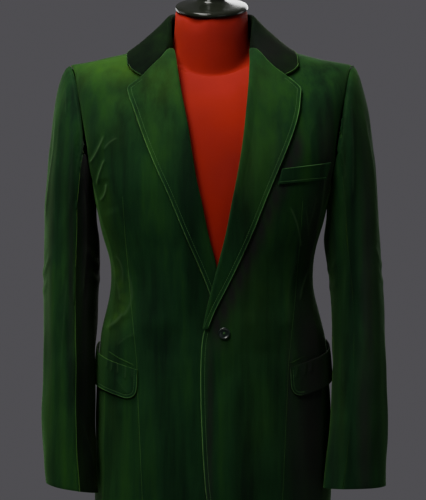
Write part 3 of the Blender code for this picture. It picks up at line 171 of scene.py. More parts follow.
FRONT_OF_SLEEVES = table(Crease,
    ((-225, 1384), (-224, 1360), (-224, 1336), 3.5, 1.3),
    ((-231, 1336), (-239, 1268), (-240, 1146), 5, 1.7),
    ((-239, 1149), (-244, 1070), (-236, 986), 6, 1.5),
    ((-211, 1320), (-214, 1253), (-222, 1154), 6, 1.6),
    ((-204, 1223), (-208, 1131), (-204, 1001), 6, -1.9),
    ((-195, 1235), (-193, 1146), (-198, 1047), 4, 1.7),
    ((-221, 1085), (-225, 1016), (-231, 925), 5, 1.5),
    ((-228, 1001), (-233, 902), (-225, 803), 7, -1.5),
    ((-213, 994), (-207, 902), (-216, 789), 8, 1.5),
    ((-198, 875), (-185, 832), (-176, 789), 5, 1.3),
    ((213, 1381), (216, 1284), (215, 1200), 5, 1.7),
    ((201, 1354), (201, 1253), (196, 1154), 6, -1.9),
    ((237, 1320), (250, 1238), (251, 1154), 5, 1.6),
    ((228, 1183), (237, 1070), (233, 954), 7, 1.6),
    ((221, 1139), (225, 1024), (219, 925), 6, -1.6),
    ((207, 1123), (201, 1009), (201, 894), 6, 1.7),
    ((245, 1015), (250, 902), (242, 792), 7, 1.4),
    ((215, 945), (210, 856), (216, 783), 7, -1.6),
)
BACK_OF_SLEEVES = table(Crease,
    ((-206, 1330), (-212, 1250), (-206, 1160), 6, 1.8),
    ((-232, 1300), (-240, 1220), (-236, 1120), 7, -1.8),
    ((-252, 1090), (-224, 1064), (-196, 1078), 6, 2.2),
    ((-250, 1056), (-222, 1036), (-200, 1046), 6, 1.8),
    ((-214, 1010), (-220, 920), (-212, 800), 8, -1.8),
    ((-238, 1000), (-242, 910), (-236, 800), 7, 1.6),
    ((208, 1336), (214, 1250), (207, 1166), 6, 1.8),
    ((234, 1306), (242, 1226), (238, 1126), 7, -1.8),
    ((258, 1098), (230, 1070), (200, 1080), 6, 2.2),
    ((256, 1062), (228, 1042), (204, 1054), 6, 1.8),
    ((218, 1014), (224, 924), (216, 800), 8, -1.8),
    ((244, 1004), (250, 914), (242, 800), 7, 1.6),
)
LEFT_SIDE = table(Crease,
    ((-34, 1350), (-40, 1270), (-30, 1180), 6, 1.7),
    ((18, 1362), (24, 1290), (16, 1200), 6, 1.7),
    ((-8, 1320), (-2, 1240), (-12, 1130), 8, -1.8),
    ((-58, 1140), (-30, 1110), (4, 1116), 6, 1.8),
    ((-52, 1100), (-22, 1082), (18, 1092), 6, 1.6),
    ((40, 1150), (22, 1100), (30, 1040), 7, -1.6),
    ((-44, 1030), (-52, 930), (-48, 800), 8, 1.7),
    ((-12, 1040), (-20, 930), (-28, 800), 8, -1.8),
    ((20, 1020), (10, 920), (2, 800), 7, 1.6),
)
RIGHT_SIDE = table(Crease,
    ((-30, 1342), (-38, 1262), (-26, 1170), 6, 1.8),
    ((22, 1356), (28, 1280), (18, 1196), 6, 1.6),
    ((-4, 1326), (4, 1240), (-10, 1140), 8, -1.9),
    ((-60, 1128), (-28, 1096), (8, 1108), 6, 1.9),
    ((-50, 1086), (-20, 1068), (20, 1080), 6, 1.5),
    ((42, 1140), (26, 1090), (32, 1030), 7, -1.6),
    ((-40, 1020), (-50, 920), (-44, 800), 8, 1.8),
    ((-8, 1030), (-18, 920), (-24, 800), 8, -1.7),
    ((24, 1010), (12, 910), (6, 800), 7, 1.5),
)
FLAP_PLEATS = table(Crease,
    ((-159, 970), (-159, 962), (-160, 950), 2.2, 1.1),
    ((-151, 967), (-151, 958), (-153, 944), 2.2, 1.3),
    ((-142, 964), (-142, 954), (-143, 942), 2.4, 1.2),
    ((-131, 960), (-130, 948), (-132, 934), 2.4, 1.4),
    ((-122, 956), (-120, 946), (-121, 936), 2.2, 0.9),
    ((-146, 940), (-134, 922), (-122, 914), 6, 1.2),
    ((118, 955), (119, 944), (117, 930), 2.4, 1.2),
    ((128, 959), (129, 948), (126, 936), 2.2, 1),
    ((141, 963), (142, 952), (140, 940), 2.4, 1.2),
    ((151, 967), (152, 956), (151, 944), 2.2, 1),
)
LAPEL_DENTS = table(Crease,
    ((-66, 1330), (-72, 1260), (-52, 1190), 12, 1),
    ((-92, 1350), (-84, 1290), (-66, 1230), 9, -0.8),
    ((84, 1362), (90, 1336), (108, 1318), 6, 0.9),
    ((66, 1330), (70, 1250), (46, 1180), 12, 1),
    ((96, 1300), (84, 1240), (64, 1190), 9, -0.8),
)
# The last column of a view is how strongly crests seen from it are painted paler, as wear and painted
# highlight
View = namedtuple("View", "across facing wear")
VIEWS = {
    "front": View(0, (0.0, -1.0, 0.0), 1.0), "back": View(0, (0.0, 1.0, 0.0), 0.3),
    "wearer_left": View(1, (1.0, 0.0, 0.0), 0.4), "wearer_right": View(1, (-1.0, 0.0, 0.0), 0.4),
}
CREASES = {
    "body": (("front", FRONT_OF_BODY), ("back", BACK_OF_BODY)),
    "sleeve": (("front", FRONT_OF_SLEEVES), ("back", BACK_OF_SLEEVES),
               ("wearer_left", LEFT_SIDE), ("wearer_right", RIGHT_SIDE)),
    "flap": (("front", FRONT_OF_BODY), ("front", FLAP_PLEATS)),
    "welt": (("front", FRONT_OF_BODY),),
    "lapel": (("front", LAPEL_DENTS),),
}
CREASE_PIECES = 12
CREASE_SHARE = 0.72
CREASE_ENDS = 0.17
CREASE_REACH = 4.5
SEEN_FROM = 0.05
SEEN_FADE = 0.45
TROUGH_SHARE = 0.42
TROUGH_AWAY = 1.9
TROUGH_WIDTH = 1.4
CREST_SHARPNESS = 0.42
CREST_WIDTH = 4.0
# Crest height at which a crest is painted palest, as wear and painted highlight
WORN_AND_LIT_HEIGHT = 1.8
FINE_CREASE = 7.5
FINE_REACH = 1.6

# Slow unevenness of the cloth: waves as (x, y, z) turns a metre, and their height.
# The small pieces take the share SMALL_RUMPLE of it.
Wave = namedtuple("Wave", "turns shift height")
SMALL_RUMPLE = 0.4
RUMPLE = table(Wave,
    ((7.0, 3.0, 5.0), 0.4, 0.00035),
    ((-5.0, 8.0, 9.0), 2.1, 0.0003),
    ((13.0, -6.0, 4.0), 4.4, 0.00025),
    ((4.0, 11.0, -14.0), 1.3, 0.00022),
    ((-17.0, 9.0, 11.0), 5.2, 0.00016),
)

# Painted highlights and painted shadows on the pile, by group: centre (x, z), half width and
# half height in millimetres, and share
PaintedLight = namedtuple("PaintedLight", "centre half_width half_height share")
# Painted highlight along the worn curve of the wearer's right waist, as small places one after the other
WAIST_CURVE = ((-147, 1098), (-138, 1078), (-134, 1058), (-136, 1042), (-146, 1028), (-159, 1016))
WAIST_SPOT = (8, 12, 0.21)
WAIST_PAINTED_HIGHLIGHT = tuple((place, *WAIST_SPOT) for place in WAIST_CURVE)
# Painted highlights: places painted lighter where light falls on them
PAINTED_HIGHLIGHTS = {
    "body": (
        *WAIST_PAINTED_HIGHLIGHT,
        ((-142, 1418), 78, 36, 0.36), ((-130, 1370), 60, 46, 0.09), ((-150, 1330), 30, 60, 0.06),
        ((150, 1420), 66, 26, 0.03), ((62, 1060), 46, 120, 0.07), ((70, 890), 34, 120, 0.04),
        ((-160, 1180), 9, 60, 0.09), ((-146, 1100), 9, 50, 0.1), ((-140, 1040), 17, 34, 0.12),
        ((-152, 1004), 16, 18, 0.08), ((-150, 870), 12, 100, 0.04),
    ),
    "sleeve": (
        ((-215, 1404), 18, 26, 0.02), ((-224, 1200), 7, 160, 0.04), ((-206, 1040), 7, 170, 0.06),
        ((-226, 900), 6, 110, 0.04), ((228, 1404), 18, 22, 0.03), ((203, 1150), 6, 200, 0.05),
        ((197, 900), 8, 130, 0.06), ((226, 1250), 5, 90, 0.03),
    ),
    "lapel": (
        ((-70, 1390), 45, 42, 0.2), ((-84, 1310), 34, 60, 0.08), ((78, 1385), 44, 44, 0.11),
        ((66, 1270), 34, 100, 0.09),
    ),
}
# Shadow beside the edge of the wearer's left lapel, from its foot to its head
SHADOW_FOOT = (8, 1018)
SHADOW_HEAD = (129, 1284)
SHADOW_STEPS = 12
SHADOW_SPOT = (9, 26, 0.86)
LAPEL_SHADOW = tuple((place, *SHADOW_SPOT) for place in np.linspace(SHADOW_FOOT, SHADOW_HEAD, SHADOW_STEPS))
# Shades lie on the front half alone, and fade out towards this depth
SHADE_END = 0.03
SHADE_FADE = 0.05
# Painted shade on the pile
SHADES = {
    "body": (
        ((178, 1250), 14, 80, 0.75), ((164, 1120), 22, 90, 0.9), ((157, 1000), 30, 90, 0.96),
        ((154, 850), 32, 150, 0.96), ((-3, 870), 6, 190, 0.5), ((119, 900), 7, 150, 0.5),
        ((10, 1000), 16, 24, 0.35), *LAPEL_SHADOW,
    ),
    "sleeve": (
        ((240, 1100), 12, 260, 0.6), ((232, 860), 12, 130, 0.65), ((184, 1000), 7, 200, 0.35),
        ((-192, 1180), 6, 240, 0.7), ((-214, 1120), 4, 170, 0.35), ((-248, 1060), 6, 240, 0.4),
    ),
    "flap": (((160, 940), 30, 70, 0.92),),
    "lapel": (((100, 1250), 12, 60, 0.2),), "collar": (((90, 1440), 30, 40, 0.35),),
}

# Lines along the border of a piece, from a start past a middle to an end, as (x, z) or (x, y, z)
Border = namedtuple("Border", "node path inset")
INSET_KEPT = 0.93
RIGHT_LAPEL = ((-0.01, 1.03), (-0.126, 1.375), (-0.108, 1.39))
LEFT_LAPEL = ((-0.006, 1.01), (0.134, 1.37), (0.113, 1.396))
FRONT_EDGE = ((-0.011, 1.016), (-0.02, 0.85), (-0.004, 0.708))
RIGHT_FLAP = ((-0.17, 0.95), (-0.13, 0.905), (-0.112, 0.95))
LEFT_FLAP = ((0.143, 0.906), (0.12, 0.908), (0.115, 0.95))
RIGHT_GORGE = ((-0.112, 1.388), (-0.086, 1.408), (-0.058, 1.432))
LEFT_GORGE = ((0.116, 1.392), (0.088, 1.41), (0.06, 1.434))
RIGHT_COLLAR = ((-0.06, 1.43), (-0.092, 1.432), (-0.074, 1.462))
LEFT_COLLAR = ((0.062, 1.43), (0.094, 1.432), (0.076, 1.462))
WELT_FOOT = ((0.104, 1.225), (0.14, 1.226), (0.173, 1.238))
WELT_TOP = ((0.106, 1.256), (0.14, 1.262), (0.173, 1.268))
RIGHT_SLEEVE = ((-0.192, -0.055, 1.2), (-0.2, -0.087, 0.95), (-0.193, -0.1, 0.775))
STITCHES = table(Border,
    ("right_lapel", RIGHT_LAPEL, 0.006),
    ("left_lapel", LEFT_LAPEL, 0.006),
    ("left_front", FRONT_EDGE, 0.006),
    ("right_flap", RIGHT_FLAP, 0.005),
    ("left_flap", LEFT_FLAP, 0.005),
    ("breast_welt", WELT_FOOT, 0.0035),
)
STITCH_LENGTH = 0.0027
STITCH_PITCH = 0.0035
STITCH_RADIUS = 0.0003
STITCH_RAISED = 0.4
STITCH_SUNK = 0.7
GROOVE_WIDTH = 0.0014
GROOVE_DEPTH = 0.00045
# Sides of a thread, and the rings of a stitch: shares of its half length and of its radius
RING = 6
STITCH_RINGS = ((-1.0, 0.35), (-0.72, 1.0), (0.72, 1.0), (1.0, 0.35))

# Edges where the pile is worn pale and catches light, as thin ridges in a paler colour: wear and painted
# highlight
WornAndLitEdge = namedtuple("WornAndLitEdge", "name node path inset radius pile")
WORN_AND_LIT_EDGES = table(WornAndLitEdge,
    ("right_lapel_edge", "right_lapel", RIGHT_LAPEL, 0.0006, 0.00075, "edge"),
    ("left_lapel_edge", "left_lapel", LEFT_LAPEL, 0.0006, 0.0009, "edge"),
    ("right_gorge_edge", "right_lapel", RIGHT_GORGE, 0.0006, 0.00055, "edge"),
    ("left_gorge_edge", "left_lapel", LEFT_GORGE, 0.0006, 0.00045, "edge"),
    ("right_collar_edge", "collar", RIGHT_COLLAR, 0.0006, 0.0005, "edge"),
    ("left_collar_edge", "collar", LEFT_COLLAR, 0.0006, 0.00035, "rim"),
    ("front_edge", "left_front", FRONT_EDGE, 0.0006, 0.00085, "edge"),
    ("right_flap_edge", "right_flap", RIGHT_FLAP, 0.0005, 0.0006, "edge"),
    ("left_flap_edge", "left_flap", LEFT_FLAP, 0.0005, 0.0006, "edge"),
    ("welt_edge", "breast_welt", WELT_TOP, 0.0005, 0.00065, "edge"),
    ("right_sleeve_edge", "right_top_sleeve", RIGHT_SLEEVE, 0.0008, 0.00045, "rim"),
)
CORD_PITCH = 0.003
CORD_SUNK = 0.45
CORD_END = 0.15
DRAPE_STEPS = 14

# Sewn lines on a panel, in millimetres, as (x, z) seen from the front
SewnLine = namedtuple("SewnLine", "node name path radius")
SEWN_LINES = table(SewnLine,
    ("right_front", "dart", ((-134, 1212), (-131, 1154), (-123, 1056), (-113, 960), (-110, 880),
                             (-106, 790), (-102, 706)), 0.00058),
    ("left_front", "dart", ((138, 1208), (135, 1150), (127, 1054), (117, 962), (113, 880),
                            (109, 790), (105, 706)), 0.0004),
    ("left_under_sleeve", "front_seam", ((188, 1050), (187, 987), (186, 933), (178, 857), (166, 797),
                                         (165, 781)), 0.00055),
    ("right_front", "jet", ((-166, 980.5), (-143, 967.5), (-114, 955.0)), 0.0008),
    ("left_front", "jet", ((142, 969.8), (130, 964.4), (117, 959.0)), 0.0006),
)

# Seams pressed in: the cloth sinks towards the armhole on both sides, and beside it is painted paler, as wear
# and painted highlight
ARMHOLE_LOWEST = 1.245
ARMHOLE_DEPTH = 0.0015
ARMHOLE_WIDTH = 0.0032
ARMHOLE_CREST = 0.0062
ARMHOLE_CREST_WIDTH = 0.0024
ARMHOLE_WEAR_AND_HIGHLIGHT = 0.18

# Seam allowance behind the back of each armhole seam
ALLOWANCE_RADIUS = 0.0038
ALLOWANCE_DEPTH = 0.0043
ALLOWANCE_SHIFT = 0.0018
ALLOWANCE_PITCH = 0.005
ALLOWANCE_LOWEST = 1.215
ALLOWANCE_HIGHEST = 1.406

# Sleeve heads: small gathers where the sleeve is eased into the armhole
GATHER_PITCH = 0.0115
GATHER_REACH = 0.016
GATHER_HEIGHT = 0.0003
GATHER_LOWEST = 1.26
GATHER_SWING = 1.7
GATHER_SWING_TURNS = 60.0
GATHER_PEAK = 0.004
GATHER_FADE = 1.5


def unit(vectors):
    length = np.linalg.norm(vectors, axis=-1, keepdims=True)
    return vectors / np.maximum(length, 1e-12)


def ease(share):
    share = np.clip(share, 0.0, 1.0)
    return share * share * (3.0 - 2.0 * share)


# Materials


def new_material(name):
    material = bpy.data.materials.new(name)
    material.use_nodes = True
    tree = material.node_tree
    return material, tree, tree.nodes["Principled BSDF"]


def add_node(tree, kind, **settings):
    node = tree.nodes.new(kind)
    for key, value in settings.items():
        if key in node.inputs:
            node.inputs[key].default_value = value
        else:
            setattr(node, key, value)
    return node


def set_inputs(node, settings):
    for name, value in settings.items():
        node.inputs[name].default_value = value


def object_noise(tree, scale, detail, roughness, stretch=(1.0, 1.0, 1.0)):
    place = add_node(tree, "ShaderNodeTexCoord")
    mapping = add_node(tree, "ShaderNodeMapping", Scale=stretch)
    noise = add_node(tree, "ShaderNodeTexNoise", Scale=scale, Detail=detail, Roughness=roughness)
    tree.links.new(place.outputs["Object"], mapping.inputs["Vector"])
    tree.links.new(mapping.outputs["Vector"], noise.inputs["Vector"])
    return noise.outputs["Fac"]


def ramp(tree, source, *stops):
    """Colours along a source. Each stop is a place from 0 to 1, and a colour or a grey."""
    node = add_node(tree, "ShaderNodeValToRGB")
    elements = node.color_ramp.elements
    while len(elements) < len(stops):
        elements.new(0.5)
    for element, (place, colour) in zip(elements, stops):
        element.position = place
        element.color = (*(colour if isinstance(colour, tuple) else (colour,) * 3), 1.0)
    tree.links.new(source, node.inputs["Fac"])
    return node.outputs["Color"]


def mix_colours(tree, way, factor, first, second):
    node = add_node(tree, "ShaderNodeMix", data_type="RGBA", blend_type=way)
    if isinstance(factor, float):
        node.inputs["Factor"].default_value = factor
    else:
        tree.links.new(factor, node.inputs["Factor"])
    for name, value in (("A", first), ("B", second)):
        socket = [s for s in node.inputs if s.name == name and s.type == "RGBA"][0]
        if isinstance(value, tuple):
            socket.default_value = (*value, 1.0)
        else:
            tree.links.new(value, socket)
    return [s for s in node.outputs if s.type == "RGBA"][0]


def bump(tree, shader, height, strength, distance, after=None):
    node = add_node(tree, "ShaderNodeBump", Strength=strength, Distance=distance)
    tree.links.new(height, node.inputs["Height"])
    if after is not None:
        tree.links.new(after, node.inputs["Normal"])
    tree.links.new(node.outputs["Normal"], shader.inputs["Normal"])
    return node.outputs["Normal"]


Pile = namedtuple("Pile", "deep mid brushed light sheen tint")
VELVETS = {
    "velvet": Pile((0.0016, 0.0078, 0.0034), (0.004, 0.0212, 0.006), (0.007, 0.0345, 0.0056),
                   (0.044, 0.122, 0.011), 0.1, (0.24, 0.7, 0.16)),
    # Darker copy of the velvet: painted shade
    "shaded_velvet": Pile((0.0006, 0.0028, 0.001), (0.0012, 0.0052, 0.0016), (0.0022, 0.0092, 0.0019),
                        (0.016, 0.044, 0.006), 0.02, (0.4, 0.7, 0.1)),
    # rim and edge are paler copies of the velvet for cut edges, worn edges and sewn lines: wear and painted
    # highlight
    "rim": Pile((0.007, 0.029, 0.007), (0.013, 0.046, 0.011), (0.018, 0.06, 0.014),
                (0.045, 0.125, 0.022), 0.2, (0.42, 0.72, 0.1)),
    "edge": Pile((0.0085, 0.03, 0.0095), (0.023, 0.072, 0.0215), (0.042, 0.118, 0.034),
                 (0.07, 0.18, 0.05), 0.3, (0.45, 0.72, 0.2)),
}
# The collar and the wearer's right under sleeve, and the cut edges of the left flap, take the darker copy:
# painted shade
FACES = {"collar": "shaded_velvet", "right_under_sleeve": "shaded_velvet"}
EDGES = {"left_flap": "shaded_velvet", "breast_welt": "velvet"}
# Paler colour of crests and armhole sides: worn pile and painted highlight
WORN_AND_LIT_PILE = (0.044, 0.09, 0.036)
# Colour of the painted shade
SHADED_PILE = (0.009, 0.0068, 0.0088)

# Unevenness of the velvet, from brushed strokes to single tufts
Noise = namedtuple("Noise", "scale detail roughness stretch")
STROKES = Noise(26.0, 5.0, 0.66, (1.0, 1.0, 0.07))
PATCHES = Noise(6.5, 4.0, 0.58, (1.0, 1.0, 0.6))
CRUSHED = Noise(38.0, 3.0, 0.6, (1.0, 1.0, 0.5))
TUFTS = Noise(1500.0, 2.0, 0.7, (1.0, 1.0, 1.0))

# Stops of the velvet's ramps
PILE_PLACES = (0.34, 0.52, 0.7)
MOTTLE = ((0.36, (0.62, 0.66, 0.76)), (0.56, 1.0), (0.74, (1.4, 1.28, 0.95)))
# Painted sheen: lighter at slanting angles
PAINTED_SHEEN = ((0.35, 0.0), (0.62, 0.03), (0.8, 0.0))
UNEVEN = ((0.3, 0.7), (0.7, 1.15))
# Ramp of the paler crest colour: wear and painted highlight
WORN_AND_LIT = ((0.1, 0.0), (1.0, 0.65))
# Painted shade where the cloth turns right away
EDGE_ON_PAINTED_SHADE = ((0.74, 0.0), (0.97, 0.75))
GRAIN = ((0.3, 0.6), (0.7, 1.0))
GRAIN_SHARE = 0.55


def velvet(name):
    """Cut pile, brushed in long uneven strokes, with painted highlights in listed places, a faint painted
    sheen at slanting angles, crests painted paler (wear and painted highlight), and painted shade in the
    shaded places and where the cloth turns right away."""
    pile = VELVETS[name]
    material, tree, shader = new_material(name)
    strokes, patches, crushed, tufts = (
        object_noise(tree, *noise) for noise in (STROKES, PATCHES, CRUSHED, TUFTS))
    painted_highlight, rubbed_and_lit, shade = (
        add_node(tree, "ShaderNodeAttribute", attribute_name=kept) for kept in ("painted_highlight", "rubbed_and_lit", "shade"))
    turned = add_node(tree, "ShaderNodeLayerWeight", Blend=0.5).outputs["Facing"]
    brushed = ramp(tree, strokes, *zip(PILE_PLACES, (pile.deep, pile.mid, pile.brushed)))
    patched = mix_colours(tree, "MULTIPLY", 1.0, brushed, ramp(tree, patches, *MOTTLE))
    # Painted highlight: the listed places and a faint painted sheen
    painted_lit_share = mix_colours(tree, "ADD", 1.0, ramp(tree, turned, *PAINTED_SHEEN), painted_highlight.outputs["Color"])
    share = mix_colours(tree, "MULTIPLY", 1.0, painted_lit_share, ramp(tree, crushed, *UNEVEN))
    lit = mix_colours(tree, "MIX", share, patched, pile.light)
    # Crests painted paler: wear and painted highlight
    lined = mix_colours(tree, "MIX", ramp(tree, rubbed_and_lit.outputs["Fac"], *WORN_AND_LIT), lit, WORN_AND_LIT_PILE)
    # Painted shade: edge-on, then in the shaded places
    darkened = mix_colours(tree, "MIX", ramp(tree, turned, *EDGE_ON_PAINTED_SHADE), lined, pile.deep)
    dimmed = mix_colours(tree, "MIX", shade.outputs["Fac"], darkened, SHADED_PILE)
    speckled = mix_colours(tree, "MULTIPLY", GRAIN_SHARE, dimmed, ramp(tree, tufts, *GRAIN))
    tree.links.new(speckled, shader.inputs["Base Color"])
    set_inputs(shader, {"Roughness": 0.95, "Specular IOR Level": 0.06, "Sheen Weight": pile.sheen,
                        "Sheen Roughness": 0.4, "Sheen Tint": (*pile.tint, 1.0)})
    soft = bump(tree, shader, patches, 0.2, 0.004)
    rough = bump(tree, shader, crushed, 0.22, 0.0016, soft)
    bump(tree, shader, tufts, 0.3, 0.0006, rough)
    return material


def thread(name):
    """Twisted sewing thread, a little paler than the pile."""
    material, tree, shader = new_material(name)
    twist = object_noise(tree, 2200.0, 2.0, 0.6)
    colour = ramp(tree, twist, (0.3, (0.018, 0.054, 0.016)), (0.75, (0.046, 0.118, 0.036)))
    tree.links.new(colour, shader.inputs["Base Color"])
    set_inputs(shader, {"Roughness": 0.85, "Specular IOR Level": 0.1})
    bump(tree, shader, twist, 0.3, 0.0002)
    return material


def jersey(name):
    """Fine ribs of red knitted cloth."""
    material, tree, shader = new_material(name)
    place = add_node(tree, "ShaderNodeTexCoord").outputs["Object"]
    ribs = add_node(tree, "ShaderNodeTexWave", bands_direction="X", Scale=420.0, Distortion=1.2, Detail=1.5)
    rows = add_node(tree, "ShaderNodeTexWave", bands_direction="Z", Scale=330.0, Distortion=0.8, Detail=1.0)
    tree.links.new(place, ribs.inputs["Vector"])
    tree.links.new(place, rows.inputs["Vector"])
    cloudy = object_noise(tree, 9.0, 3.0, 0.5)
    base = ramp(tree, cloudy, (0.3, (0.165, 0.003, 0.001)), (0.75, (0.235, 0.0052, 0.0016)))
    # The grooves between the ribs are darkened: painted shade
    shaded = mix_colours(tree, "MULTIPLY", 0.35, base, ribs.outputs["Color"])
    tree.links.new(shaded, shader.inputs["Base Color"])
    set_inputs(shader, {"Roughness": 0.85, "Specular IOR Level": 0.15, "Sheen Weight": 0.1,
                        "Sheen Roughness": 0.5, "Sheen Tint": (1.0, 0.12, 0.05, 1.0)})
    first = bump(tree, shader, ribs.outputs["Fac"], 0.35, 0.0006)
    bump(tree, shader, rows.outputs["Fac"], 0.25, 0.0005, first)
    return material


Lacquer = namedtuple("Lacquer", "colour roughness coat specular")
LACQUERS = {
    "cap_lacquer": Lacquer((0.006, 0.007, 0.005), 0.12, 0.1, 0.1),
    "stand_lacquer": Lacquer((0.01, 0.01, 0.011), 0.2, 0.4, 0.5),
    "button_horn": Lacquer((0.0015, 0.0045, 0.0032), 0.24, 0.06, 0.35),
}
HAZE_PALER = 1.8
HAZE_ROUGHER = 0.12


def lacquer(name):
    """Gloss black paint with faint polishing haze."""
    paint = LACQUERS[name]
    material, tree, shader = new_material(name)
    haze = object_noise(tree, 22.0, 4.0, 0.6)
    paler = tuple(part * HAZE_PALER for part in paint.colour)
    tree.links.new(ramp(tree, haze, (0.3, paint.colour), (0.8, paler)), shader.inputs["Base Color"])
    rough = add_node(tree, "ShaderNodeMapRange")
    set_inputs(rough, {"To Min": paint.roughness, "To Max": paint.roughness + HAZE_ROUGHER})
    tree.links.new(haze, rough.inputs["Value"])
    tree.links.new(rough.outputs["Result"], shader.inputs["Roughness"])
    set_inputs(shader, {"Specular IOR Level": paint.specular, "Coat Weight": paint.coat,
                        "Coat Roughness": 0.05})
    return material


# Sheets of cloth grown from the solids


def smooth_regions(work):
    """Groups of faces that meet at less than the sharp angle."""
    waiting = set(work.faces)
    groups = []
    while waiting:
        seed = waiting.pop()
        group = [seed]
        for face in group:
            for edge in face.edges:
                for other in edge.link_faces:
                    if other in waiting and face.normal.angle(other.normal, 0.0) < SHARP_ANGLE:
                        waiting.discard(other)
                        group.append(other)
        groups.append(group)
    return groups


def outwardness(group, centre_of):
    total = 0.0
    for face in group:
        middle = face.calc_center_median()
        out = middle - centre_of(middle)
        total += face.calc_area() * face.normal.dot(out.normalized())
    return total


def body_centre(point):
    return Vector((0.0, BODY_MIDDLE, min(point.z, BODY_TOP)))


def sleeve_centre(node):
    low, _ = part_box(node)
    away = math.copysign(SLEEVE_AWAY, low.x)

    def centre(point):
        share = (SLEEVE_TOP - point.z) / SLEEVE_FALL
        return Vector((away, SLEEVE_MIDDLE - SLEEVE_FORWARD * share, point.z))

    return centre


def welded(mesh):
    """Editable copy of a solid's mesh, with its points joined."""
    work = bmesh.new()
    work.from_mesh(mesh)
    bmesh.ops.remove_doubles(work, verts=work.verts, dist=WELD)
    return work


def join_quads(work, bend):
    """Join triangles into quads where they meet at less than that angle."""
    bmesh.ops.join_triangles(work, faces=work.faces, angle_face_threshold=bend,
                             angle_shape_threshold=QUAD_SHAPE)


def outer_sheet(cloth):
    """Single layer of quads on the outer face of a cloth solid."""
    work = welded(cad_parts[cloth.node].data)
    work.normal_update()
    centre_of = sleeve_centre(cloth.node) if cloth.group == "sleeve" else body_centre
    groups = sorted(smooth_regions(work), key=lambda group: -sum(face.calc_area() for face in group))
    keep = max(groups[:2], key=lambda group: outwardness(group, centre_of))
    drop = [face for group in groups if group is not keep for face in group]
    bmesh.ops.delete(work, geom=drop, context="FACES")
    join_quads(work, CLOTH_BEND)
    mesh = bpy.data.meshes.new(cloth.node + "_cloth")
    work.to_mesh(mesh)
    work.free()
    return link(cloth.node + "_cloth", mesh)


def link(name, mesh):
    made = bpy.data.objects.new(name, mesh)
    bpy.context.scene.collection.objects.link(made)
    return made


def dress(mesh, *materials):
    mesh.materials.clear()
    for material in materials:
        mesh.materials.append(material)
    mesh.shade_smooth()


def apply_modifiers(made):
    """Turn the object's modifiers into its mesh."""
    graph = bpy.context.evaluated_depsgraph_get()
    mesh = bpy.data.meshes.new_from_object(made.evaluated_get(graph))
    made.modifiers.clear()
    made.data = mesh


def refine(made, levels):
    finer = made.modifiers.new("finer", "SUBSURF")
    finer.levels = levels
    finer.render_levels = levels
    finer.boundary_smooth = "PRESERVE_CORNERS"
    apply_modifiers(made)


def points_of(mesh, column="co"):
    values = np.empty(len(mesh.vertices) * 3)
    mesh.vertices.foreach_get(column, values)
    return values.reshape(-1, 3)


def normals_of(mesh):
    return points_of(mesh, "normal")


def set_points(mesh, points):
    mesh.vertices.foreach_set("co", points.reshape(-1))
    mesh.update()


def crease_line(row):
    """Points of a crease, in millimetres, along a curve from its start to its end."""
    start, middle, end = (np.array(place, float) for place in (row.start, row.middle, row.end))
    bend = 2.0 * middle - (start + end) / 2.0
    t = np.linspace(0.0, 1.0, CREASE_PIECES + 1)[:, None]
    return (1 - t) ** 2 * start + 2 * t * (1 - t) * bend + t ** 2 * end


def across_and_along(flat, line):
    """Signed distance of flat points from a line, and how far along it they lie, 0 to 1."""
    best = np.full(len(flat), np.inf)
    signed = np.zeros(len(flat))
    along = np.zeros(len(flat))
    for k in range(len(line) - 1):
        run = line[k + 1] - line[k]
        away = flat - line[k]
        share = np.clip(away @ run / (run @ run), 0.0, 1.0)
        off = away - share[:, None] * run
        distance = np.hypot(off[:, 0], off[:, 1])
        turned = np.sign(run[0] * away[:, 1] - run[1] * away[:, 0])
        nearer = distance < best
        best = np.where(nearer, distance, best)
        signed = np.where(nearer, distance * turned, signed)
        along = np.where(nearer, (k + share) / (len(line) - 1), along)
    return signed, along


def creases_near(group, points, normals):
    """For each crease of a group, the points that it reaches and where they lie beside it."""
    for name, rows in CREASES.get(group, ()):
        view = VIEWS[name]
        seen = ease((normals @ np.array(view.facing) - SEEN_FROM) / SEEN_FADE)
        flat = points[:, (view.across, 2)] / MILLIMETRE
        for row in rows:
            line = crease_line(row)
            reach = CREASE_REACH * row.width
            over = (flat > line.min(axis=0) - reach).all(axis=1)
            under = (flat < line.max(axis=0) + reach).all(axis=1)
            near = np.flatnonzero(over & under & (seen > 0.0))
            if len(near):
                signed, along = across_and_along(flat[near], line)
                taper = ease(along / CREASE_ENDS) * ease((1.0 - along) / CREASE_ENDS) * seen[near]
                yield row, near, signed, taper, view.wear


def crease_heights(group, points, normals):
    """Height of the creases at each point, and how near the point lies to a crest."""
    lift = np.zeros(len(points))
    crest = np.zeros(len(points))
    for row, near, signed, taper, wear in creases_near(group, points, normals):
        ridge = np.exp(-(signed / row.width) ** 2)
        if row.height > 0:
            beside = np.exp(-((signed - TROUGH_AWAY * row.width) / (TROUGH_WIDTH * row.width)) ** 2)
            ridge = ridge - TROUGH_SHARE * beside
            # The crest is painted paler: worn pile, and a painted highlight where the ridge catches light
            narrow = np.exp(-(signed / (CREST_SHARPNESS * row.width)) ** 2)
            share = min(row.height / WORN_AND_LIT_HEIGHT, 1.0) * min((CREST_WIDTH / row.width) ** 2, 1.0)
            crest[near] = np.maximum(crest[near], narrow * taper * share * wear)
        lift[near] += CREASE_SHARE * ridge * taper * row.height * MILLIMETRE
    return lift, crest


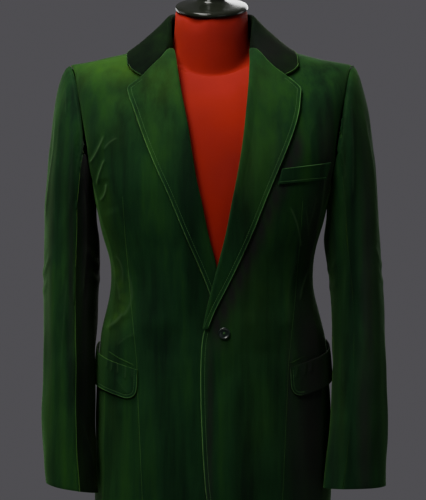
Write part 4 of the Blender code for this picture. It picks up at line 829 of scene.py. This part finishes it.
def cut_strips(mesh, longest):
    """Cut in two each strip of quads whose rungs are longer than that on average."""
    work = bmesh.new()
    work.from_mesh(mesh)
    waiting = set(work.edges)
    rungs = []
    while waiting:
        strip = [waiting.pop()]
        for edge in strip:
            for face in edge.link_faces:
                if len(face.verts) != 4:
                    continue
                for other in face.edges:
                    if other in waiting and not set(other.verts) & set(edge.verts):
                        waiting.discard(other)
                        strip.append(other)
        if sum(edge.calc_length() for edge in strip) / len(strip) > longest:
            rungs += strip
    bmesh.ops.subdivide_edges(work, edges=rungs, cuts=1, use_grid_fill=True)
    work.to_mesh(mesh)
    work.free()


def cut_near_creases(mesh, group):
    """Finer mesh beside the narrow creases."""
    points = points_of(mesh)
    close = np.zeros(len(points), bool)
    for row, near, signed, taper, _ in creases_near(group, points, normals_of(mesh)):
        if row.width <= FINE_CREASE:
            close[near] |= (np.abs(signed) < FINE_REACH * row.width) & (taper > 0.0)
    work = bmesh.new()
    work.from_mesh(mesh)
    edges = [edge for edge in work.edges if close[edge.verts[0].index] and close[edge.verts[1].index]]
    bmesh.ops.subdivide_edges(work, edges=edges, cuts=1, use_grid_fill=True)
    work.to_mesh(mesh)
    work.free()


def refine_sheet(made, group):
    refine(made, 1)
    cut_strips(made.data, GROUPS[group].longest_strip)
    refine(made, GROUPS[group].fineness - 1)
    cut_near_creases(made.data, group)


def rumple_height(points):
    total = np.zeros(len(points))
    for wave in RUMPLE:
        total += wave.height * np.sin(points @ np.array(wave.turns) * 2.0 * np.pi + wave.shift)
    return total


def tree_of(points):
    tree = kdtree.KDTree(len(points))
    for k, point in enumerate(points):
        tree.insert(point, k)
    tree.balance()
    return tree


def gaps_to(line, points, reach):
    """Distance of each point from the points of a line, endless where it is over the reach."""
    tree = tree_of(line)
    inside = (points > line.min(axis=0) - reach) & (points < line.max(axis=0) + reach)
    gaps = np.full(len(points), np.inf)
    for k in np.flatnonzero(inside.all(axis=1)):
        gaps[k] = tree.find(points[k])[2]
    return gaps


def armhole_points(sleeve):
    """Points along an armhole, from the upper border of its sleeve."""
    ring = points_of(sleeve.data)[border_of(sleeve.data)]
    return ring[ring[:, 2] > ARMHOLE_LOWEST]


def painted_light_shares(places, points):
    """How much painted highlight or painted shade lies at each point, from a table of places."""
    shares = np.zeros(len(points))
    flat = points[:, (0, 2)] / MILLIMETRE
    for painted_place in table(PaintedLight, *places):
        away = (flat - np.array(painted_place.centre)) / (painted_place.half_width, painted_place.half_height)
        shares = np.maximum(shares, painted_place.share * np.exp(-(away ** 2).sum(axis=1)))
    return shares


def keep_shares(mesh, name, shares):
    layer = mesh.attributes.new(name, "FLOAT", "POINT")
    layer.data.foreach_set("value", shares.astype(np.float32))


def shade_shares(group, points):
    """How much painted shade lies on the pile of a group at each point, on the front half alone."""
    front = ease((SHADE_END - points[:, 1]) / SHADE_FADE)
    return painted_light_shares(SHADES.get(group, ()), points) * front


def crease(made, cloth, armholes):
    """Raise and sink the creases of a sheet, and keep where its crests are painted paler (wear and painted
    highlight), and where painted highlights and painted shade lie.
    """
    mesh = made.data
    points = points_of(mesh)
    normals = normals_of(mesh)
    lift = rumple_height(points) * (1.0 if cloth.group in LARGE_GROUPS else SMALL_RUMPLE)
    heights, rubbed_and_lit = crease_heights(cloth.group, points, normals)
    rubbed_and_lit *= GROUPS[cloth.group].wear
    lift += heights
    if cloth.group in LARGE_GROUPS:
        for armhole in armholes:
            gap = gaps_to(armhole, points, 4 * ARMHOLE_CREST)
            lift -= ARMHOLE_DEPTH * np.exp(-(gap / ARMHOLE_WIDTH) ** 2)
            beside = np.exp(-((gap - ARMHOLE_CREST) / ARMHOLE_CREST_WIDTH) ** 2)
            rubbed_and_lit = np.maximum(rubbed_and_lit, ARMHOLE_WEAR_AND_HIGHLIGHT * beside)
    keep_shares(mesh, "rubbed_and_lit", rubbed_and_lit)
    keep_shares(mesh, "painted_highlight", painted_light_shares(PAINTED_HIGHLIGHTS.get(cloth.group, ()), points))
    keep_shares(mesh, "shade", shade_shares(cloth.group, points))
    set_points(mesh, points + normals * lift[:, None])


def border_of(mesh):
    """Numbers of the points along the longest border, in order."""
    work = bmesh.new()
    work.from_mesh(mesh)
    waiting = {edge for edge in work.edges if edge.is_boundary}
    loops = []
    while waiting:
        edge = waiting.pop()
        loop = [edge.verts[0].index, edge.verts[1].index]
        tip = edge.verts[1]
        while True:
            following = [other for other in tip.link_edges if other in waiting]
            if not following:
                break
            waiting.discard(following[0])
            tip = following[0].other_vert(tip)
            loop.append(tip.index)
        if loop[0] == loop[-1]:
            loop.pop()
        loops.append(loop)
    work.free()
    return max(loops, key=len)


def nearest_to(points, place):
    axes = (0, 2) if len(place) == 2 else (0, 1, 2)
    return int(np.argmin(np.linalg.norm(points[:, axes] - np.array(place), axis=-1)))


def border_run(points, path):
    """Points along the border from the path's start, past its middle, to its end."""
    start, middle, end = (nearest_to(points, place) for place in path)
    count = len(points)
    onward = (end - start) % count
    if (middle - start) % count <= onward:
        order = [(start + k) % count for k in range(onward + 1)]
    else:
        order = [(start - k) % count for k in range((start - end) % count + 1)]
    return points[order]


def run_along(points):
    """How far along their line each of its points lies."""
    steps = np.linalg.norm(np.diff(points, axis=0), axis=-1)
    return np.concatenate([[0.0], np.cumsum(steps)])


def evenly(points, pitch):
    """Points spaced evenly along a line of points."""
    run = run_along(points)
    at = np.arange(0.0, run[-1], pitch)
    return np.stack([np.interp(at, run, points[:, k]) for k in range(3)], axis=-1)


def surface_tree(mesh):
    return BVHTree.FromPolygons([v.co for v in mesh.vertices], [p.vertices for p in mesh.polygons])


def laid_on(tree, points):
    """Nearest points of a surface, their normals and their distances."""
    found = [tree.find_nearest(Vector(point)) for point in points]
    return tuple(np.array([row[column] for row in found]) for column in (0, 1, 3))


def inset_line(border, tree, row, pitch):
    """Line on a sheet, a constant distance in from its border, with the sheet's normals."""
    border = evenly(border_run(border, row.path), pitch / 4)
    _, facing, _ = laid_on(tree, border)
    along = unit(np.gradient(border, axis=0))
    inward = unit(np.cross(facing, along)) * row.inset
    choices = [laid_on(tree, border + sign * inward) for sign in (1.0, -1.0)]
    line = min(choices, key=lambda choice: choice[2].sum())[0]
    away = np.linalg.norm(line[:, None] - border[None], axis=-1).min(axis=1)
    line = evenly(line[away > INSET_KEPT * row.inset], pitch)
    spots, facing, _ = laid_on(tree, line)
    return spots, facing


def draped_line(tree, path, pitch):
    """Line on a sheet under a path drawn in the front view, moved outward where it misses the sheet."""
    flat = np.array(path, float) * MILLIMETRE
    rough = evenly(np.stack([flat[:, 0], np.zeros(len(flat)), flat[:, 1]], axis=-1), pitch)
    spots = []
    facings = []
    for point in rough:
        outward = math.copysign(MILLIMETRE, point[0])
        for step in range(DRAPE_STEPS):
            start = Vector((point[0] + step * outward, -1.0, point[2]))
            spot, facing, _, _ = tree.ray_cast(start, Vector((0.0, 1.0, 0.0)))
            if spot is not None:
                spots.append(spot)
                facings.append(facing)
                break
    return np.array(spots), np.array(facings)


def sink_groove(mesh, line):
    """Press a soft groove into a sheet along a line."""
    points = points_of(mesh)
    away = gaps_to(evenly(line, STITCH_PITCH / 3), points, 4 * GROOVE_WIDTH)
    depth = GROOVE_DEPTH * np.exp(-(away / GROOVE_WIDTH) ** 2)
    set_points(mesh, points - normals_of(mesh) * depth[:, None])


def ring_faces(first, rings, sides):
    """Faces of a closed tube of rings of points, numbered on from its first point."""
    faces = []
    for ring in range(rings - 1):
        for k in range(sides):
            a = first + ring * sides + k
            b = first + ring * sides + (k + 1) % sides
            faces.append((a, b, b + sides, a + sides))
    last = first + (rings - 1) * sides
    faces.append([first + k for k in range(sides)][::-1])
    faces.append([last + k for k in range(sides)])
    return faces


def make_piece(name, points, faces, material):
    mesh = bpy.data.meshes.new(name)
    mesh.from_pydata(points.reshape(-1, 3).tolist(), [], faces)
    dress(mesh, material)
    return link(name, mesh)


def tubes(name, middles, side, facing, radii, material):
    """Closed round threads. Each is a row of ring centres, with its ring radii."""
    angles = np.arange(RING) * 2.0 * np.pi / RING
    around = side[..., None, :] * np.cos(angles)[:, None] + facing[..., None, :] * np.sin(angles)[:, None]
    points = middles[..., None, :] + around * radii[..., None, None]
    count, stations = middles.shape[:2]
    faces = [face for one in range(count) for face in ring_faces(one * stations * RING, stations, RING)]
    made = make_piece(name, points, faces, material)
    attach(made, "root")
    return made


def make_stitches(name, line, facing, material):
    """Short rounded threads laid end to end along a line."""
    along = unit(np.gradient(line, axis=0))
    side = unit(np.cross(facing, along))
    reach, size = np.array(STITCH_RINGS).T
    reach = reach * STITCH_LENGTH / 2
    size = size * STITCH_RADIUS
    centres = line + facing * STITCH_RADIUS * STITCH_RAISED
    middles = centres[:, None] + along[:, None] * reach[None, :, None]
    shape = middles.shape
    tubes(name, middles, np.broadcast_to(side[:, None], shape), np.broadcast_to(facing[:, None], shape),
          np.broadcast_to(size, shape[:2]), material)


def make_cord(name, line, facing, radius, material, group):
    """Thin ridge of pile in a paler colour, worn and painted as catching light, half sunk in the cloth, with
    the cloth's painted shade, thinner at its ends.
    """
    side = unit(np.cross(facing, unit(np.gradient(line, axis=0))))
    share = np.linspace(0.0, 1.0, len(line))
    radii = radius * np.clip(np.minimum(share, 1.0 - share) * len(line) / 2.0, CORD_END, 1.0)
    middles = line - facing * radius * CORD_SUNK
    made = tubes(name, middles[None], side[None], facing[None], radii[None], material)
    keep_shares(made.data, "shade", shade_shares(group, points_of(made.data)))


def gather_head(made):
    """Small gathers across the seam of a sleeve head."""
    mesh = made.data
    points = points_of(mesh)
    normals = normals_of(mesh)
    ring = points[border_of(mesh)]
    ring = ring[ring[:, 2] > GATHER_LOWEST]
    ring = ring[np.argsort(ring[:, 1])]
    run = run_along(ring)
    tree = tree_of(ring)
    lift = np.zeros(len(points))
    for index in np.flatnonzero(points[:, 2] > GATHER_LOWEST - GATHER_REACH):
        _, k, gap = tree.find(points[index])
        swing = GATHER_SWING * np.sin(run[k] * GATHER_SWING_TURNS)
        wave = np.sin(2.0 * np.pi * run[k] / GATHER_PITCH + swing)
        near = gap / GATHER_PEAK
        fade = near * np.exp(1.0 - near) * ease(GATHER_FADE - gap / GATHER_REACH)
        lift[index] = GATHER_HEIGHT * wave * fade
    set_points(mesh, points + normals * lift[:, None])


def thicken(made, wall):
    solid = made.modifiers.new("wall", "SOLIDIFY")
    solid.thickness = wall
    solid.offset = -1.0
    solid.material_offset_rim = 1
    rounding = made.modifiers.new("rounding", "BEVEL")
    rounding.width = EDGE_ROUNDING
    rounding.segments = 2
    rounding.limit_method = "ANGLE"
    rounding.angle_limit = SHARP_ANGLE
    rounding.material = 1


def finish_cloth(made, cloth, face, edge):
    dress(made.data, face, edge)
    thicken(made, cloth.wall)
    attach(made, "root")
    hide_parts(cloth.node)


def make_allowance(made, material):
    """Rolled seam allowance, under the surface along the back of an armhole, from its lower end."""
    ring = border_of(made.data)
    points = points_of(made.data)[ring]
    high = (points[:, 2] > ALLOWANCE_LOWEST) & (points[:, 2] < ALLOWANCE_HIGHEST) & (points[:, 1] > 0.0)
    turn = next(k for k in range(len(ring)) if high[k] and not high[k - 1])
    order = np.roll(np.arange(len(ring)), -turn)
    run = points[order[high[order]]]
    upward = run if run[0][2] < run[-1][2] else run[::-1]
    spots, facing, _ = laid_on(surface_tree(made.data), evenly(upward, ALLOWANCE_PITCH))
    along = unit(np.gradient(spots, axis=0))
    towards_body = np.array([-math.copysign(ALLOWANCE_SHIFT, spots[0][0]), 0.0, 0.0])
    middles = spots - facing * ALLOWANCE_DEPTH + towards_body
    radii = np.full((1, len(spots)), ALLOWANCE_RADIUS)
    name = made.name.replace("_top_sleeve_cloth", "_armhole_allowance")
    tubes(name, middles[None], unit(np.cross(facing, along))[None], facing[None], radii, material)


def make_lines(made, materials):
    """Stitches, paler worn edges (wear and painted highlight) and sewn lines on the sheets."""
    lined = {row.node for row in STITCHES + WORN_AND_LIT_EDGES + SEWN_LINES}
    groups = {cloth.node: cloth.group for cloth in CLOTH}
    trees = {node: surface_tree(made[node].data) for node in lined}
    borders = {node: points_of(made[node].data)[border_of(made[node].data)] for node in lined}
    for row in STITCHES:
        line, facing = inset_line(borders[row.node], trees[row.node], row, STITCH_PITCH)
        sink_groove(made[row.node].data, line)
        sunk = line - facing * GROOVE_DEPTH * STITCH_SUNK
        make_stitches(row.node + "_stitches", sunk, facing, materials["thread"])
    for row in WORN_AND_LIT_EDGES:
        line, facing = inset_line(borders[row.node], trees[row.node], row, CORD_PITCH)
        make_cord(row.name, line, facing, row.radius, materials[row.pile], groups[row.node])
    for row in SEWN_LINES:
        line, facing = draped_line(trees[row.node], row.path, CORD_PITCH)
        sink_groove(made[row.node].data, line)
        make_cord(row.node + "_" + row.name, line, facing, row.radius, materials["rim"], groups[row.node])


def make_cloth(materials):
    made = {}
    for cloth in CLOTH:
        made[cloth.node] = outer_sheet(cloth)
        refine_sheet(made[cloth.node], cloth.group)
    sleeves = [made[cloth.node] for cloth in CLOTH if cloth.node.endswith("top_sleeve")]
    armholes = [armhole_points(sleeve) for sleeve in sleeves]
    for cloth in CLOTH:
        crease(made[cloth.node], cloth, armholes)
    for sleeve in sleeves:
        gather_head(sleeve)
    make_lines(made, materials)
    for sleeve in sleeves:
        # The allowances take the darker copy: painted shade
        make_allowance(sleeve, materials["shaded_velvet"])
    for cloth in CLOTH:
        # Cut edges take the paler rim copy (wear and painted highlight), or the darker copy as painted shade
        face = materials[FACES.get(cloth.node, "velvet")]
        edge = materials[EDGES.get(cloth.node, "rim")]
        finish_cloth(made[cloth.node], cloth, face, edge)


# Dress form, stand and button

# Rings of the button from its back to the middle of its face: shares of its radius and thickness
ButtonRing = namedtuple("ButtonRing", "reach level")
BUTTON_RINGS = table(ButtonRing,
    (0.7, 0.0), (0.9, 0.06), (0.985, 0.3), (0.995, 0.55), (0.97, 0.8), (0.91, 0.95),
    (0.85, 0.98), (0.79, 0.92), (0.73, 0.78), (0.62, 0.7), (0.3, 0.67),
)
BUTTON_SIDES = 64
HOLES_APART = 0.0022
THREAD_STATIONS = 9
THREAD_RISE = 0.0004
THREAD_RADIUS = 0.0004


def make_smooth_node(node, material, levels):
    """Finer, smooth copy of a round solid."""
    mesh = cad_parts[node].data.copy()
    work = welded(mesh)
    join_quads(work, ROUND_BEND)
    work.to_mesh(mesh)
    work.free()
    made = link(node + "_smooth", mesh)
    refine(made, levels)
    dress(made.data, material)
    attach(made, "root")
    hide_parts(node)


def make_button(material, cotton):
    """Turned button with a rolled rim, a dish, and a cross of thread through its holes."""
    corners = points_of(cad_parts["front_button"].data)
    centre = corners.mean(axis=0)
    away = unit(np.linalg.svd(corners - centre)[2][2])
    away = away if away[1] < 0 else -away
    side = unit(np.cross(away, (0.0, 0.0, 1.0)))
    up = np.cross(side, away)
    depths = (corners - centre) @ away
    radius = np.linalg.norm(corners - centre - depths[:, None] * away, axis=-1).max()
    back, thick = depths.min(), depths.max() - depths.min()
    angles = np.arange(BUTTON_SIDES) * 2.0 * np.pi / BUTTON_SIDES
    around = side * np.cos(angles)[:, None] + up * np.sin(angles)[:, None]
    levels = [centre + away * (back + thick * row.level) for row in BUTTON_RINGS]
    points = np.concatenate([level + around * radius * row.reach for level, row in zip(levels, BUTTON_RINGS)])
    faces = ring_faces(0, len(BUTTON_RINGS), BUTTON_SIDES)
    made = make_piece("button_turned", points, faces, material)
    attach(made, "root")
    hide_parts("front_button")
    face = levels[-1]
    share = np.linspace(-1.0, 1.0, THREAD_STATIONS)
    runs = [side + up, side - up]
    paths = np.array([[face + unit(run) * HOLES_APART * t + away * THREAD_RISE * (1.0 - t * t) for t in share]
                      for run in runs])
    across = np.array([[unit(np.cross(away, run))] * THREAD_STATIONS for run in runs])
    out = np.broadcast_to(away, paths.shape)
    radii = np.full(paths.shape[:2], THREAD_RADIUS)
    tubes("button_thread", paths, across, out, radii, cotton)


# Stage


def make_floor():
    bpy.ops.mesh.primitive_circle_add(vertices=FLOOR_SIDES, radius=FLOOR_RADIUS, fill_type="NGON")
    floor = bpy.context.object
    floor.name = "floor"
    material, _, shader = new_material("pale_floor")
    set_inputs(shader, {"Base Color": FLOOR_COLOUR, "Roughness": 0.85})
    floor.data.materials.append(material)


def make_world():
    world = bpy.data.worlds.new("studio")
    world.use_nodes = True
    set_inputs(world.node_tree.nodes["Background"], {"Color": WORLD_COLOUR, "Strength": 1.0})
    bpy.context.scene.world = world


Lamp = namedtuple("Lamp", "name place aim size energy colour")
LAMPS = table(Lamp,
    ("key", (-0.85, -1.6, 2.6), (0.0, 0.0, 1.25), 0.8, 50.0, (1.0, 0.99, 0.95)),
    ("top", (-0.45, -0.45, 2.8), (0.0, 0.0, 1.35), 0.7, 44.0, (1.0, 1.0, 0.95)),
    ("fill", (1.9, -2.8, 1.7), (0.0, 0.0, 1.1), 1.6, 13.0, (0.95, 0.98, 1.0)),
    ("behind", (0.9, 2.9, 2.6), (0.0, 0.0, 1.1), 1.6, 60.0, (1.0, 1.0, 1.0)),
    ("behind_low", (-1.6, 2.4, 1.5), (0.0, 0.0, 1.0), 1.4, 18.0, (1.0, 1.0, 1.0)),
    ("left_side", (2.7, 0.9, 1.7), (0.1, 0.0, 1.1), 1.4, 16.0, (1.0, 1.0, 1.0)),
    ("right_side", (-2.7, 0.9, 1.7), (-0.1, 0.0, 1.1), 1.4, 12.0, (1.0, 1.0, 1.0)),
)


def make_lights():
    for lamp in LAMPS:
        data = bpy.data.lights.new(lamp.name, "AREA")
        data.shape = "SQUARE"
        data.size = lamp.size
        data.energy = lamp.energy
        data.color = lamp.colour
        light = bpy.data.objects.new(lamp.name, data)
        light.location = lamp.place
        aim = Vector(lamp.aim) - Vector(lamp.place)
        light.rotation_euler = aim.to_track_quat("-Z", "Y").to_euler()
        light.visible_camera = False
        bpy.context.scene.collection.objects.link(light)


def make_camera():
    data = bpy.data.cameras.new("photo_view")
    data.sensor_width = SENSOR
    data.lens = FOCAL_PIXELS / PHOTO_HEIGHT * SENSOR
    camera = bpy.data.objects.new("photo_view", data)
    camera.location = CAMERA_PLACE
    camera.rotation_euler = (math.radians(90.0), 0.0, 0.0)
    bpy.context.scene.collection.objects.link(camera)
    bpy.context.scene.camera = camera


def main():
    make_camera()
    materials = {name: velvet(name) for name in VELVETS}
    materials["thread"] = thread("thread")
    make_cloth(materials)
    make_smooth_node("form_torso", jersey("jersey"), 1)
    make_smooth_node("neck_cap", lacquer("cap_lacquer"), 2)
    stand = lacquer("stand_lacquer")
    for node in ("stand_pole", "stand_base"):
        dress(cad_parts[node].data, stand)
    make_button(lacquer("button_horn"), materials["thread"])
    make_floor()
    make_world()
    make_lights()


main()
